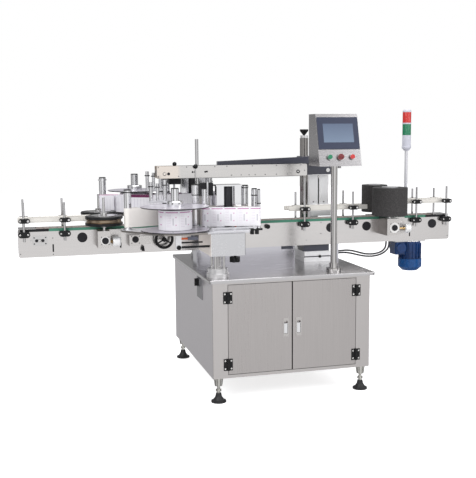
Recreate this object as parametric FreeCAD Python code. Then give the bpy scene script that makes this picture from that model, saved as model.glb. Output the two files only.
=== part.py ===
import FreeCAD, Part
import math
import os

# Labeling machine for bottles on a slat chain conveyor, in millimetres.
# X runs along the conveyor to the outfeed end, Y to the back, Z up.
# The origin is on the floor under the middle of the conveyor.

V = FreeCAD.Vector
os.makedirs("parts", exist_ok=True)

# Conveyor
conveyor_length = 2550.0
conveyor_width = 110.0
chain_top = 908.0
chain_width = 82.5
chain_pitch = 38.1
slat_thickness = 5.0
slat_gap = 1.6
axle_x = 1160.0
loop_radius = 55.0
plate_thickness = 4.0
plate_bottom = 755.0
plate_top = 896.0
plate_flange = 12.0
plate_corner = 12.0
axle_radius = 12.5
axle_fit = 0.05
wear_strip_half = 1113.0
wear_strip_wall = 2.0
wear_strip_rise = 11.0
wear_strip_grip = 3.0
dead_plate_start = 1182.0
dead_plate_thickness = 1.0
tension_x = -1162.0
tension_drop = 8.5
rail_bar_height = 8.0
tie_spacing = 350.0
tie_thickness = 6.0
plug_places = (-938.0, 500.0, 729.0)
plug_radius = 27.0
plug_height = 3.0
plug_spigot = 20.0
slot_places = (-1094.0, 1011.0)
slot_low = 780.0
slot_high = 823.0
slot_half = 4.0

# Cabinet and table
cabinet_left = -325.0
cabinet_right = 555.0
cabinet_half_depth = 495.0
cabinet_bottom = 133.0
table_bottom = 638.0
table_top = 656.0
table_left = -340.0
table_right = 585.0
table_overhang = 5.0
table_half_depth = cabinet_half_depth + table_overhang
table_corner = 14.0
table_edge = 5.0
sheet = 3.0
door_left = -243.0
door_split = 110.5
door_right = 475.0
door_low = 150.0
door_high = 630.0
door_thickness = 18.0
door_gap = 2.5
hinge_heights = (206.0, 561.0)
hinge_length = 62.0
hinge_leaf = 24.0
hinge_pin = 3.0
running_fit = 0.05
pull_height = 385.0
pull_offset = 36.0
foot_inset_x = 37.0
foot_inset_y = 35.0
foot_radius = 40.0

# Label heads
reach = 515.0
block_left = -312.0
block_right = -126.0
block_front = 415.0
block_back = 140.0
block_bottom = 770.0
deck_bottom = 888.0
deck_top = 898.0
column_x = -265.0
column_y = 380.0
rear_column_shift = 80.0
column_rod = 7.0
column_rod_dx = 23.0
column_rod_dy = 38.0
head_rise = 45.0
head_shift = -108.0
web_low = 912.0
web_width = 102.0
web_thickness = 0.8
web_gap = 0.4
roll_radius = 88.0
core_radius = 38.0
spindle_radius = 12.0
disc_low = 905.0
disc_high = 1026.0
disc_thickness = 5.0

# Hold-down unit
beam_left = -520.0
beam_right = 360.0
beam_half = 35.0
beam_low = 1160.0
beam_high = 1228.0
beam_plate = 3.0
lift_x = 408.0
lift_y = 150.0
lift_radius = 25.0
lift_top = 1374.0
arm_low = 1155.0
arm_mid = 1214.0

# Bottle wheels and press rollers
wheel_x = -828.0
wheel_y = 135.0
wheel_radius = 100.0
wheel_low = 925.0
wheel_high = 975.0
press_x = 836.0
press_y = 140.0
press_radius = 103.0
press_back_x = 855.0
press_back_y = 114.0
press_back_radius = 78.0
press_low = 922.0
press_high = 1085.0
spindle_rod = 7.0
drive_low = 805.0
drive_high = 895.0
press_drive_high = 903.0

# Operator panel and signal tower
post_x = 380.0
post_y = 97.0 - table_half_depth
post_radius = 17.5
case_left = 259.0
case_right = 497.0
case_low = 1230.0
case_high = 1504.0
case_back = 165.0 - table_half_depth
case_top_front = 70.0 - table_half_depth
case_low_front = -table_half_depth
tower_x = 1045.0
tower_y = 74.0
tower_radius = 26.0
tower_pole_top = 1292.0
tower_body_height = 94.0
tower_green_height = 67.0
tower_ring_height = 8.0
tower_red_height = 64.0
tower_cap_height = 15.0


def block(x0, x1, y0, y1, z0, z1):
    return Part.makeBox(x1 - x0, y1 - y0, z1 - z0, V(x0, y0, z0))


def rod(x, y, z0, z1, radius):
    return Part.makeCylinder(radius, z1 - z0, V(x, y, z0), V(0, 0, 1))


def rod_x(y, z, x0, x1, radius):
    return Part.makeCylinder(radius, x1 - x0, V(x0, y, z), V(1, 0, 0))


def rod_y(x, z, y0, y1, radius):
    return Part.makeCylinder(radius, y1 - y0, V(x, y0, z), V(0, 1, 0))


def plan_prism(points, z0, z1):
    corners = [V(x, y, z0) for x, y in points]
    face = Part.Face(Part.makePolygon(corners + corners[:1]))
    return face.extrude(V(0, 0, z1 - z0))


def front_prism(points, y0, y1):
    corners = [V(x, y0, z) for x, z in points]
    face = Part.Face(Part.makePolygon(corners + corners[:1]))
    return face.extrude(V(0, y1 - y0, 0))


def side_prism(points, x0, x1):
    corners = [V(x0, y, z) for y, z in points]
    face = Part.Face(Part.makePolygon(corners + corners[:1]))
    return face.extrude(V(x1 - x0, 0, 0))


def turned(x, y, profile):
    corners = [V(x + radius, y, z) for radius, z in profile]
    face = Part.Face(Part.makePolygon(corners + corners[:1]))
    return face.revolve(V(x, y, 0), V(0, 0, 1), 360)


def rounded_box(x0, x1, y0, y1, z0, z1, radius):
    solid = block(x0, x1, y0, y1, z0, z1)
    upright = [edge for edge in solid.Edges if abs(edge.Length - (z1 - z0)) < 1e-6
               and edge.BoundBox.ZLength > z1 - z0 - 1e-6]
    return solid.makeFillet(radius, upright)


def stadium(x, z, half_length, radius, y0, y1):
    middle = block(x - half_length, x + half_length, y0, y1, z - radius, z + radius)
    ends = [rod_y(x + half_length * k, z, y0, y1, radius) for k in (-1, 1)]
    return middle.fuse(ends).removeSplitter()


def fuse(first, *others):
    return first.fuse(list(others)).removeSplitter()


def mirrored(solid):
    return solid.mirror(V(0, 0, 0), V(0, 1, 0))


def both_sides(solid):
    return [solid, mirrored(solid)]


def save(name, solids):
    shape = solids[0] if len(solids) == 1 else Part.makeCompound(solids)
    shape.exportStep("parts/" + name + ".step")


# A band that runs round a row of rollers, seen from above. Each roller is
# (x, y, radius, turn), with turn +1 where the band turns left round it and
# -1 where it turns right. The band's middle line touches each circle.
def roller_band(rollers, thickness, z0, z1):
    runs = []
    for (xa, ya, ra, ta), (xb, yb, rb, tb) in zip(rollers, rollers[1:]):
        gap = math.hypot(xb - xa, yb - ya)
        heading = math.atan2(yb - ya, xb - xa) - math.asin((tb * rb - ta * ra) / gap)
        left = V(-math.sin(heading), math.cos(heading), 0)
        start = V(xa, ya, z0) - left * (ta * ra)
        end = V(xb, yb, z0) - left * (tb * rb)
        runs.append((start, end, left, heading))
    edges = []
    for side in (0.5, -0.5):
        line = []
        for index, (start, end, left, heading) in enumerate(runs):
            shift = left * (side * thickness)
            line.append(Part.makeLine(start + shift, end + shift))
            if index + 1 < len(runs):
                x, y, radius, turn = rollers[index + 1]
                after = runs[index + 1]
                offset_radius = radius - turn * side * thickness
                sweep = (after[3] - heading) % (2 * math.pi)
                if turn < 0:
                    sweep -= 2 * math.pi
                middle = heading + sweep / 2
                outward = V(math.sin(middle), -math.cos(middle), 0) * turn
                through = V(x, y, z0) + outward * offset_radius
                line.append(Part.Arc(end + shift, through,
                                     after[0] + after[2] * (side * thickness)).toShape())
        edges.append(line)
    left_line, right_line = edges
    caps = [Part.makeLine(left_line[0].Vertexes[0].Point, right_line[0].Vertexes[0].Point),
            Part.makeLine(left_line[-1].Vertexes[-1].Point, right_line[-1].Vertexes[-1].Point)]
    outline = Part.Wire(Part.__sortEdges__(left_line + right_line + caps))
    return Part.Face(outline).extrude(V(0, 0, z1 - z0))


# Slat chain: one closed loop of slats, with a gap cut between each pair
def slat_chain():
    axle_z = chain_top - loop_radius
    half = chain_width / 2

    def loop(radius):
        return stadium(0, axle_z, axle_x, radius, -half, half)

    chain = loop(loop_radius).cut(loop(loop_radius - slat_thickness))
    count = int(2 * axle_x / chain_pitch)
    first = -chain_pitch * count / 2
    depth = slat_thickness / 2
    cuts = []
    for index in range(count + 1):
        x = first + index * chain_pitch
        for z, way in ((chain_top, -1), (axle_z - loop_radius, 1)):
            notch = [(x - slat_gap / 2, z - way), (x + slat_gap / 2, z - way),
                     (x + slat_gap / 2, z + way * depth), (x - slat_gap / 2, z + way * depth)]
            cuts.append(front_prism(notch, -half - 1, half + 1))
    save("slat_chain", [chain.cut(cuts)])


# Side plates: a long plate each side with rounded ends and a folded lower
# flange, bored for the axle ends, the idler slots, the round plugs and two
# upright slots
def conveyor_side_plates():
    axle_z = chain_top - loop_radius
    half_length = conveyor_length / 2
    outside = conveyor_width / 2
    inside = outside - plate_thickness
    plate = block(-half_length, half_length, -outside, -inside, plate_bottom, plate_top)
    corners = [edge for edge in plate.Edges if edge.BoundBox.YLength > plate_thickness - 0.01
               and edge.Length < plate_thickness + 0.01]
    plate = plate.makeFillet(plate_corner, corners)
    flange = block(-half_length + plate_corner, half_length - plate_corner,
                   -inside, -inside + plate_flange, plate_bottom, plate_bottom + plate_thickness)
    plate = fuse(plate, flange)
    bores = [rod_y(x, axle_z, -outside - 1, -inside + 1, plug_spigot)
             for x in plug_places + (axle_x,)]
    bores.append(stadium(-axle_x, axle_z, axle_radius, axle_radius + 2, -outside - 1, -inside + 1))
    for x in slot_places:
        bores.append(block(x - slot_half, x + slot_half, -outside - 1, -inside + 1,
                           slot_low + slot_half, slot_high - slot_half))
        bores.append(rod_y(x, slot_low + slot_half, -outside - 1, -inside + 1, slot_half))
        bores.append(rod_y(x, slot_high - slot_half, -outside - 1, -inside + 1, slot_half))
    save("conveyor_side_plates", both_sides(plate.cut(bores)))


# Cross ties and fittings: cross plates with two carry bars under the top
# run, rods under the return run, bearing blocks, round plugs, the slotted
# tension plates at the idler end and a dead plate over each end
def conveyor_ties():
    axle_z = chain_top - loop_radius
    outside = conveyor_width / 2
    inside = outside - plate_thickness
    chain_under = chain_top - slat_thickness
    bar_low = chain_under - rail_bar_height
    solids = []
    notch_depth = wear_strip_wall + 0.5
    notch_low = plate_top - wear_strip_grip - 0.5
    for index in range(-3, 4):
        x = index * tie_spacing
        x0, x1 = x - tie_thickness / 2, x + tie_thickness / 2
        cross = block(x0, x1, -inside, inside, axle_z - 25, bar_low)
        for y0, y1 in ((-inside - 1, -inside + notch_depth), (inside - notch_depth, inside + 1)):
            cross = cross.cut(block(x0 - 1, x1 + 1, y0, y1, notch_low, bar_low + 1))
        solids.append(cross)
    bar_end = axle_x - loop_radius
    for y in (-28.0, 20.0):
        solids.append(block(-bar_end, bar_end, y, y + 8, bar_low, chain_under))
    under = axle_z - loop_radius - 6
    for x in (-900.0, -300.0, 300.0, 900.0):
        solids.append(rod_y(x, under, -inside, inside, 6))
    half = chain_width / 2
    for x in (-axle_x, axle_x):
        bearing = block(x - 28, x + 28, -inside, -half - 0.75, axle_z - 28, axle_z + 28)
        bearing = bearing.cut(rod_y(x, axle_z, -inside - 1, inside, axle_radius + axle_fit))
        solids += both_sides(bearing)
    for x in plug_places + (axle_x,):
        plug = fuse(rod_y(x, axle_z, -outside - plug_height, -outside, plug_radius),
                    rod_y(x, axle_z, -outside, -inside, plug_spigot - running_fit))
        solids += both_sides(plug)
    tension_z = axle_z - tension_drop
    plate = block(tension_x - 40, tension_x + 40, -outside - 4, -outside,
                  tension_z - 27.5, tension_z + 27.5)
    corners = [edge for edge in plate.Edges if edge.BoundBox.YLength > 3.9]
    plate = plate.makeFillet(9, corners)
    plate = plate.cut(stadium(tension_x, tension_z, 18.5, 8, -outside - 5, -outside + 1))
    solids += both_sides(plate)
    solids += both_sides(rod_y(tension_x - 4, tension_z, -outside - 7, -inside, 5))
    solids += both_sides(rod_y(tension_x - 47, tension_z, -outside - 7, -outside, 5))
    strip_top = plate_top + wear_strip_rise
    for x0, x1 in ((-conveyor_length / 2 + 2, -dead_plate_start),
                   (dead_plate_start, conveyor_length / 2 - 2)):
        solids.append(block(x0, x1, -outside - wear_strip_wall, outside + wear_strip_wall,
                            strip_top, strip_top + dead_plate_thickness))
    save("conveyor_ties", solids)


# Wear strips: a channel pressed over the top edge of each side plate, in a
# long middle length and two short end lengths
def wear_strips():
    outside = conveyor_width / 2
    inside = outside - plate_thickness
    low = plate_top - wear_strip_grip
    high = plate_top + wear_strip_rise
    wall = wear_strip_wall
    profile = [(-outside - wall, low), (-outside - running_fit, low),
               (-outside - running_fit, plate_top), (-inside + running_fit, plate_top),
               (-inside + running_fit, low), (-inside + wall, low),
               (-inside + wall, high), (-outside - wall, high)]
    ends = conveyor_length / 2 - plate_corner
    solids = []
    for x0, x1 in ((-wear_strip_half, wear_strip_half), (-ends, -wear_strip_half - 1.5),
                   (wear_strip_half + 1.5, ends)):
        solids += both_sides(side_prism(profile, x0, x1))
    save("wear_strips", solids)


# Sprockets on their axles, one at each end of the chain loop
def sprockets():
    axle_z = chain_top - loop_radius
    tip = loop_radius - slat_thickness - 0.6
    half_axle = conveyor_width / 2 - plate_thickness - 0.5
    for name, x in (("drive_sprocket", axle_x), ("idler_sprocket", -axle_x)):
        axle = rod_y(x, axle_z, -half_axle, half_axle, axle_radius)
        wheel = rod_y(x, axle_z, -11, 11, tip)
        scallops = []
        for index in range(9):
            angle = 2 * math.pi * index / 9
            scallops.append(rod_y(x + (tip + 5) * math.cos(angle),
                                  axle_z + (tip + 5) * math.sin(angle), -12, 12, 11))
        save(name, [fuse(axle, wheel.cut(scallops))])


# Under the conveyor: the folded sheet pedestal, the grooved slide block
# with its saddle, and a narrow leg, all standing on the table
def conveyor_pedestal():
    pedestal = rounded_box(-305, 281, -50, 50, table_top, plate_bottom, 4)
    lower = block(335, 500, -60, 230, table_top, table_top + 28)
    upper = block(338, 497, -57, 227, table_top + 28, table_top + 60)
    groove = block(330, 505, -60, -54, table_top + 27, table_top + 33)
    slide = fuse(lower, upper).cut(groove)
    saddle = block(338, 497, -40, 60, table_top + 60, plate_bottom)
    leg = block(543, 555, -45, 45, table_top, plate_bottom)
    gland = block(198, 268, -53, -50, plate_bottom - 18, plate_bottom - 1)
    save("conveyor_pedestal", [pedestal, slide, saddle, leg, gland])


# Blue worm gear motor hung under the outfeed end
def gearmotor():
    x, y = 1043.0, 0.0
    radius = 66.0
    low, cover, high = 568.0, 640.0, plate_bottom - 8
    mount = block(922, 1120, -48, 48, high, plate_bottom)
    gear = fuse(rounded_box(927, 995, -46, 46, 670, high, 12),
                rod_y(961, 709, -56, 56, 30))
    body = turned(x, y, [(0, cover), (radius - 4, cover), (radius - 4, high), (0, high)])
    body = fuse(body, block(995, x, -36, 36, 690, high))
    ribs = []
    for index in range(18):
        angle = 360.0 * index / 18
        rib = block(x + radius - 8, x + radius + 3, y - 1.6, y + 1.6, cover + 4, high - 14)
        rib.rotate(V(x, y, 0), V(0, 0, 1), angle)
        ribs.append(rib)
    box = rounded_box(x - 40, x + 40, radius - 4, radius + 34, 655, 735, 6)
    body = fuse(body, box, *ribs)
    fan_cover = turned(x, y, [(0, low), (radius - 18, low), (radius + 5, low + 22),
                              (radius + 5, cover), (0, cover)])
    save("gearmotor", [mount, gear, body, fan_cover])


# Guide rails: flat rails on cross rods, held by clamps on upright posts
# Front x, rear x, top of the front post, height of the rail it carries
guide_stations = ((-1243.0, -1243.0, 1050.0, 953.0), (-1031.0, -1034.0, 1048.0, 953.0),
                  (331.0, 328.0, 1147.0, 968.0), (632.0, 632.0, 1062.0, 968.0),
                  (1043.0, 1092.0, 1078.0, 990.0), (1242.0, 1239.0, 1079.0, 990.0))
guide_rear_top = 1059.0
guide_post_y = 75.0
guide_post_radius = 6.0
rail_inner = 38.0
rail_thickness = 8.0
rail_height = 26.0
guide_base_z = 880.0
clamp_radius = 16.0
clamp_half = 15.0
cross_offset = 22.0


def guide_rails():
    posts, clamps, rails = [], [], []
    rail_back = rail_inner + rail_thickness
    depth = 11.0
    for front_x, rear_x, front_top, rail_z in guide_stations:
        for x, top, rear in ((front_x, front_top, False), (rear_x, guide_rear_top, True)):
            post = rod(x, -guide_post_y, guide_base_z - 38, top, guide_post_radius)
            cross = rod_y(x + cross_offset, rail_z, -guide_post_y - 14, -rail_back,
                          guide_post_radius)
            stub = rod_y(x + 17, guide_base_z, -guide_post_y + depth, -conveyor_width / 2, 8)
            lower = stadium(x, guide_base_z, clamp_half, clamp_radius,
                            -guide_post_y - depth, -guide_post_y + depth)
            lower = fuse(lower, stub).cut(post)
            upper = stadium(x + 3, rail_z, clamp_half + 3, clamp_radius - 4,
                            -guide_post_y - depth, -guide_post_y + depth)
            upper = upper.cut(post).cut(cross)
            posts += [mirrored(post), mirrored(cross)] if rear else [post, cross]
            clamps += [mirrored(lower), mirrored(upper)] if rear else [lower, upper]
    clamps.append(fuse(rod_y(110, 874, -74, -60, 13), rod_y(110, 874, -60, -55, 7)))
    plate_face = -conveyor_width / 2
    for x, y, z, seat, tip in ((-738.0, -102.0, 818.0, -95.0, 4.0),
                               (-612.0, -80.0, 792.0, plate_face, 9.0)):
        lever = turned(x, y, [(0, z - 24), (tip, z - 24), (5, z), (0, z)])
        clamps.append(fuse(lever, rod_y(x, z, y - 6, seat, 5)))
    for x0, x1, z in ((-1274.0, -882.0, 953.0), (246.0, 738.0, 968.0), (994.0, 1275.0, 990.0)):
        low, high = z - rail_height / 2, z + rail_height / 2
        profile = [(-rail_back + 2, low), (-rail_inner - 3, low), (-rail_inner, low + 4),
                   (-rail_inner, high - 4), (-rail_inner - 3, high), (-rail_back + 2, high),
                   (-rail_back + 2, z + 7), (-rail_back, z + 7), (-rail_back, z - 7),
                   (-rail_back + 2, z - 7)]
        rails += both_sides(side_prism(profile, x0, x1))
    save("guide_posts", posts)
    save("guide_clamps", clamps)
    save("guide_rails", rails)


# Drive boxes on the side plates under the bottle wheels and press rollers,
# each with a round flange and cap on its front
knob_y = 142.0
knob_radius = 26.5
separator_knob_z = 835.0
separator_cap_z = 843.0
press_knob_z = 842.0
press_cap_z = 850.0
separator_box_end = wheel_x + 28.0
press_box_end = press_x + 52.0
strip_clearance = 0.5
handwheel_x = -499.0
handwheel_z = 830.0


def drive_boxes():
    face = conveyor_width / 2
    skirt = face + wear_strip_wall + strip_clearance
    skirt_low = plate_top - wear_strip_grip - strip_clearance
    solids = []
    separator = (wheel_x - 38, separator_box_end, drive_high, separator_cap_z, 23.0)
    press = (press_x - 27, press_box_end, press_drive_high, press_cap_z, 29.5)
    places = ((wheel_x, wheel_y, 1, separator, separator_knob_z),
              (wheel_x, wheel_y, -1, separator, separator_knob_z),
              (press_x, press_y, 1, press, press_knob_z),
              (press_back_x, press_back_y, -1, press, press_knob_z))
    for x, y, side, (x0, x1, high, cap_z, flange), knob_z in places:
        depth = y + 30
        cap_x = (x0 + x1) / 2 + 6
        box = block(x0, x1, -depth, -face, drive_low, high)
        rear_plate = block(x1, x1 + 68, -face - 40, -face, drive_low, high)
        box = fuse(box, rear_plate, rod_y(cap_x, cap_z, -depth - 3, -depth, flange))
        box = box.cut(block(x0 - 1, x1 + 69, -skirt, -face + 1, skirt_low, high + 1))
        box = box.cut(rod(x, -y, drive_low + 20, high + 1, spindle_rod + running_fit))
        cap = rod_y(cap_x, cap_z, -depth - 7, -depth - 3, 18)
        if side > 0:
            box = box.cut(rod_x(-knob_y, knob_z, x1 - 22, x1 + 1, 6 + running_fit))
        solids += [box, cap] if side > 0 else [mirrored(box), mirrored(cap)]
    small = block(-692, -628, -118, -face, 802, 860)
    small_cap = rod_y(-659, 838, -122, -118, 18)
    bracket = block(-622, -552, -72, -face, 803, 850)
    wheel_hub = rod_y(handwheel_x, handwheel_z, -96, -face, 12)
    wheel_hub = wheel_hub.cut(rod_y(handwheel_x, handwheel_z, -97, -70, 7 + running_fit))
    solids += [small, small_cap, bracket, wheel_hub]
    save("drive_boxes", solids)


# Knobs that open and close the bottle gap: a rounded knob with a coned neck
# on a brass rod that runs into its box
def gap_knobs():
    for name, x, z, stand_off, length in (
            ("separator_knob", separator_box_end, separator_knob_z, 14.0, 43.0),
            ("press_knob", press_box_end, press_knob_z, 43.0, 38.0)):
        knob = rod_x(-knob_y, z, x + stand_off, x + stand_off + length, knob_radius)
        rims = [edge for edge in knob.Edges if edge.BoundBox.XLength < 0.1]
        knob = knob.makeFillet(8, rims)
        neck = Part.makeCone(6, 13, 10, V(x + stand_off - 10, -knob_y, z), V(1, 0, 0))
        shaft = rod_x(-knob_y, z, x - 20, x + stand_off, 6)
        save(name, [fuse(shaft, neck, knob)])


# Black spoked handwheel on the side plate, with an eight sided rim section
def handwheel():
    x, y, z = handwheel_x, -105.0, handwheel_z
    rim_radius, rim_half = 45.5, 8.0
    section = []
    for index in range(8):
        angle = math.pi * (2 * index + 1) / 8
        section.append(V(x + rim_radius + rim_half * math.cos(angle),
                         y + rim_half * math.sin(angle), z))
    rim = Part.Face(Part.makePolygon(section + section[:1]))
    rim = rim.revolve(V(x, y, z), V(0, 1, 0), 360)
    hub = rod_y(x, z, y - 7, y + 8, 13)
    shaft = rod_y(x, z, y + 8, y + 31, 7)
    spokes = []
    for index in range(3):
        spoke = rod(x, y, z + 8, z + rim_radius, 4)
        spoke.rotate(V(x, y, z), V(0, 1, 0), 120.0 * index)
        spokes.append(spoke)
    grip = rod_y(x + 30, z + 30, y - 17, y, 6)
    save("handwheel", [fuse(rim, hub, shaft, grip, *spokes)])


# Bottle wheels: grooved tyre and hub on a long upright spindle
def separator_wheels():
    low, high = wheel_low, wheel_high
    r = wheel_radius
    groove = 8.0
    for name, side in (("front_separator_wheel", 1), ("rear_separator_wheel", -1)):
        tyre = [(20, low), (r - 3, low), (r, low + 3), (r, low + 15), (r - groove, low + 19),
                (r - groove, high - 19), (r, high - 15), (r, high - 3), (r - 3, high), (20, high)]
        tyre = turned(wheel_x, -wheel_y, tyre)
        hub = [(0, drive_low + 24), (spindle_rod, drive_low + 24), (spindle_rod, low - 14),
               (20, low - 10), (20, high), (70, high), (70, high + 3), (18, high + 3),
               (18, high + 16), (spindle_rod, high + 16), (spindle_rod, 1072), (0, 1072)]
        hub = turned(wheel_x, -wheel_y, hub)
        solids = [tyre, hub]
        save(name, solids if side > 0 else [mirrored(solid) for solid in solids])


# Sponge press rollers: foam sleeve on a hub with an end disc
def press_rollers():
    rollers = (("front_press_roller", press_x, -press_y, press_radius),
               ("rear_press_roller", press_back_x, press_back_y, press_back_radius))
    for name, x, y, radius in rollers:
        foam = [(radius * 0.42, press_low), (radius, press_low), (radius, press_high),
                (radius * 0.42, press_high)]
        hub = [(0, drive_low + 24), (spindle_rod, drive_low + 24), (spindle_rod, press_low - 8),
               (16, press_low - 4), (radius * 0.42, press_low), (radius * 0.42, press_high),
               (radius * 0.46, press_high), (radius * 0.46, press_high + 4), (0, press_high + 4)]
        save(name, [turned(x, y, foam), turned(x, y, hub)])


# Table top with a rolled edge
def machine_table():
    top = rounded_box(table_left, table_right, -table_half_depth, table_half_depth,
                      table_bottom, table_top, table_corner)
    upper = [edge for edge in top.Edges if edge.BoundBox.ZMin > table_top - 0.01]
    save("table_top", [top.makeFillet(table_edge, upper)])


# Sheet cabinet, open to the front behind its two doors
def cabinet_shell():
    front = -cabinet_half_depth
    outer = rounded_box(cabinet_left, cabinet_right, front, cabinet_half_depth,
                        cabinet_bottom, table_bottom, 3)
    inner = block(cabinet_left + sheet, cabinet_right - sheet, front + sheet,
                  cabinet_half_depth - sheet, cabinet_bottom + sheet, table_bottom - sheet)
    opening = block(door_left, door_right, front - 1, front + sheet + 1, door_low, door_high)
    save("cabinet_shell", [outer.cut(inner).cut(opening)])


# Doors: folded panels hung on black pin hinges, with recessed paddle pulls
def doors():
    front = -cabinet_half_depth
    back = front + door_thickness
    middle_gap = door_gap / 2 + 2
    sides = (("left", door_left + door_gap, door_split - middle_gap, door_left, 1),
             ("right", door_split + middle_gap, door_right - door_gap, door_right, -1))
    for name, x0, x1, hinge_x, way in sides:
        panel = block(x0, x1, front, back, door_low + door_gap, door_high - door_gap)
        hollow = block(x0 + sheet, x1 - sheet, front + sheet, back + 1,
                       door_low + door_gap + sheet, door_high - door_gap - sheet)
        panel = panel.cut(hollow)
        pull_x = door_split - way * pull_offset
        cup = block(pull_x - 16, pull_x + 16, front, front + 15, pull_height - 52, pull_height + 52)
        slot = block(pull_x - 10, pull_x + 10, front - 1, front + 12,
                     pull_height - 34, pull_height + 34)
        pivot_bore = rod_x(front + 4, pull_height + 18, pull_x - 13.5, pull_x + 13.5,
                           3 + running_fit)
        panel = fuse(panel, cup).cut(slot).cut(pivot_bore)
        frame = block(pull_x - 15, pull_x + 15, front - 2, front, pull_height - 50, pull_height + 50)
        frame = frame.cut(block(pull_x - 10, pull_x + 10, front - 3, front + 1,
                                pull_height - 34, pull_height + 34))
        solids = [panel, frame]
        pin_y = front - hinge_pin - 3.5
        for z in hinge_heights:
            leaf = block(min(hinge_x + way * 7, hinge_x + way * hinge_leaf),
                         max(hinge_x + way * 7, hinge_x + way * hinge_leaf),
                         front - 4, front, z - hinge_length / 2, z + hinge_length / 2)
            knuckle = rod(hinge_x, pin_y, z - 14, z + 14, hinge_pin + 3)
            knuckle = fuse(knuckle, block(min(hinge_x, hinge_x + way * 8),
                                          max(hinge_x, hinge_x + way * 8),
                                          front - 5, front - 0.6, z - 14, z + 14))
            knuckle = knuckle.cut(rod(hinge_x, pin_y, z - 20, z + 20, hinge_pin + running_fit))
            solids.append(fuse(leaf, knuckle))
        save(name + "_door", solids)
        paddle = block(pull_x - 9, pull_x + 9, front + 0.5, front + 3.5,
                       pull_height - 33, pull_height + 20)
        pivot = rod_x(front + 4, pull_height + 18, pull_x - 13, pull_x + 13, 3)
        save(name + "_door_pull", [fuse(paddle, pivot)])


# Fixed hinge leaves with their pins, and the main switch plate
switch_y = -212.0
switch_z = 602.0


def cabinet_fittings():
    front = -cabinet_half_depth
    solids = []
    for hinge_x, way in ((door_left, -1), (door_right, 1)):
        pin_y = front - hinge_pin - 3.5
        for z in hinge_heights:
            leaf = block(min(hinge_x + way * 7, hinge_x + way * hinge_leaf),
                         max(hinge_x + way * 7, hinge_x + way * hinge_leaf),
                         front - 4, front, z - hinge_length / 2, z + hinge_length / 2)
            pin = rod(hinge_x, pin_y, z - hinge_length / 2, z + hinge_length / 2, hinge_pin)
            ends = []
            for z0, z1 in ((z - hinge_length / 2, z - 14.5), (z + 14.5, z + hinge_length / 2)):
                ends.append(rod(hinge_x, pin_y, z0, z1, hinge_pin + 3))
                ends.append(block(min(hinge_x, hinge_x + way * 8), max(hinge_x, hinge_x + way * 8),
                                  front - 5, front - 0.6, z0, z1))
            solids.append(fuse(leaf, pin, *ends))
    plate = block(cabinet_left - 4, cabinet_left, switch_y - 60, switch_y + 60, 512, 634)
    boss = rod_x(switch_y, switch_z, cabinet_left - 10, cabinet_left - 4, 26)
    bore = rod_x(switch_y, switch_z, cabinet_left - 11, cabinet_left + 1, 5 + running_fit)
    solids.append(fuse(plate, boss).cut(bore))
    save("cabinet_fittings", solids)
    grip = block(cabinet_left - 30, cabinet_left - 14, switch_y - 6, switch_y + 6,
                 switch_z - 20, switch_z + 20)
    disc = rod_x(switch_y, switch_z, cabinet_left - 16, cabinet_left - 10.3, 22)
    shaft = rod_x(switch_y, switch_z, cabinet_left - 12, cabinet_left - 1, 5)
    save("switch_knob", [fuse(grip, disc, shaft)])


# Levelling feet: sleeve under the cabinet, threaded stem and nut, and a
# bell shaped rubber pad
def levelling_feet():
    stems, pads = [], []
    for x in (cabinet_left + foot_inset_x, cabinet_right - foot_inset_x):
        for y in (-cabinet_half_depth + foot_inset_y, cabinet_half_depth - foot_inset_y):
            top = cabinet_bottom
            stem = [(0, 34), (8, 34), (8, 58), (15, 58), (15, 68), (8, 68), (8, 88),
                    (20, 88), (26, top), (0, top)]
            stems.append(turned(x, y, stem))
            pad = [(0, 0), (foot_radius, 0), (foot_radius, 8), (28, 14), (18, 30), (14, 48),
                   (8, 48), (8, 34), (0, 34)]
            pads.append(turned(x, y, pad))
    save("foot_stems", stems)
    save("foot_pads", pads)


# Control gear on its back plate inside the cabinet
def control_panel():
    back = cabinet_half_depth - sheet
    plate = block(-180, 410, back - 8, back, 190, 580)
    modules = []
    for z, height, widths in ((500, 60, (90, 70, 70, 110, 60)), (380, 80, (120, 45, 45, 45, 90)),
                              (240, 90, (150, 120, 100))):
        x = -150.0
        for width in widths:
            modules.append(block(x, x + width, back - 80, back - 14, z, z + height))
            x += width + 12
        modules.append(block(-160, x - 6, back - 14, back - 8, z + 20, z + 40))
    save("control_panel", [plate] + modules)


# Operator panel: post with flange, sloped sheet case, touch screen, buttons
slope = math.atan2(case_low_front - case_top_front, case_high - case_low)
panel_plane = V(0, -math.cos(slope), -math.sin(slope))


def on_slope(x, z):
    share = (z - case_low) / (case_high - case_low)
    return V(x, case_low_front + share * (case_top_front - case_low_front), z)


button_z = 1277.0
button_places = (("start_button", 319.0, 12.0), ("mode_knob", 380.0, 16.0),
                 ("stop_button", 446.0, 12.0))
ring_height = 6.0
button_height = 14.0


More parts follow.
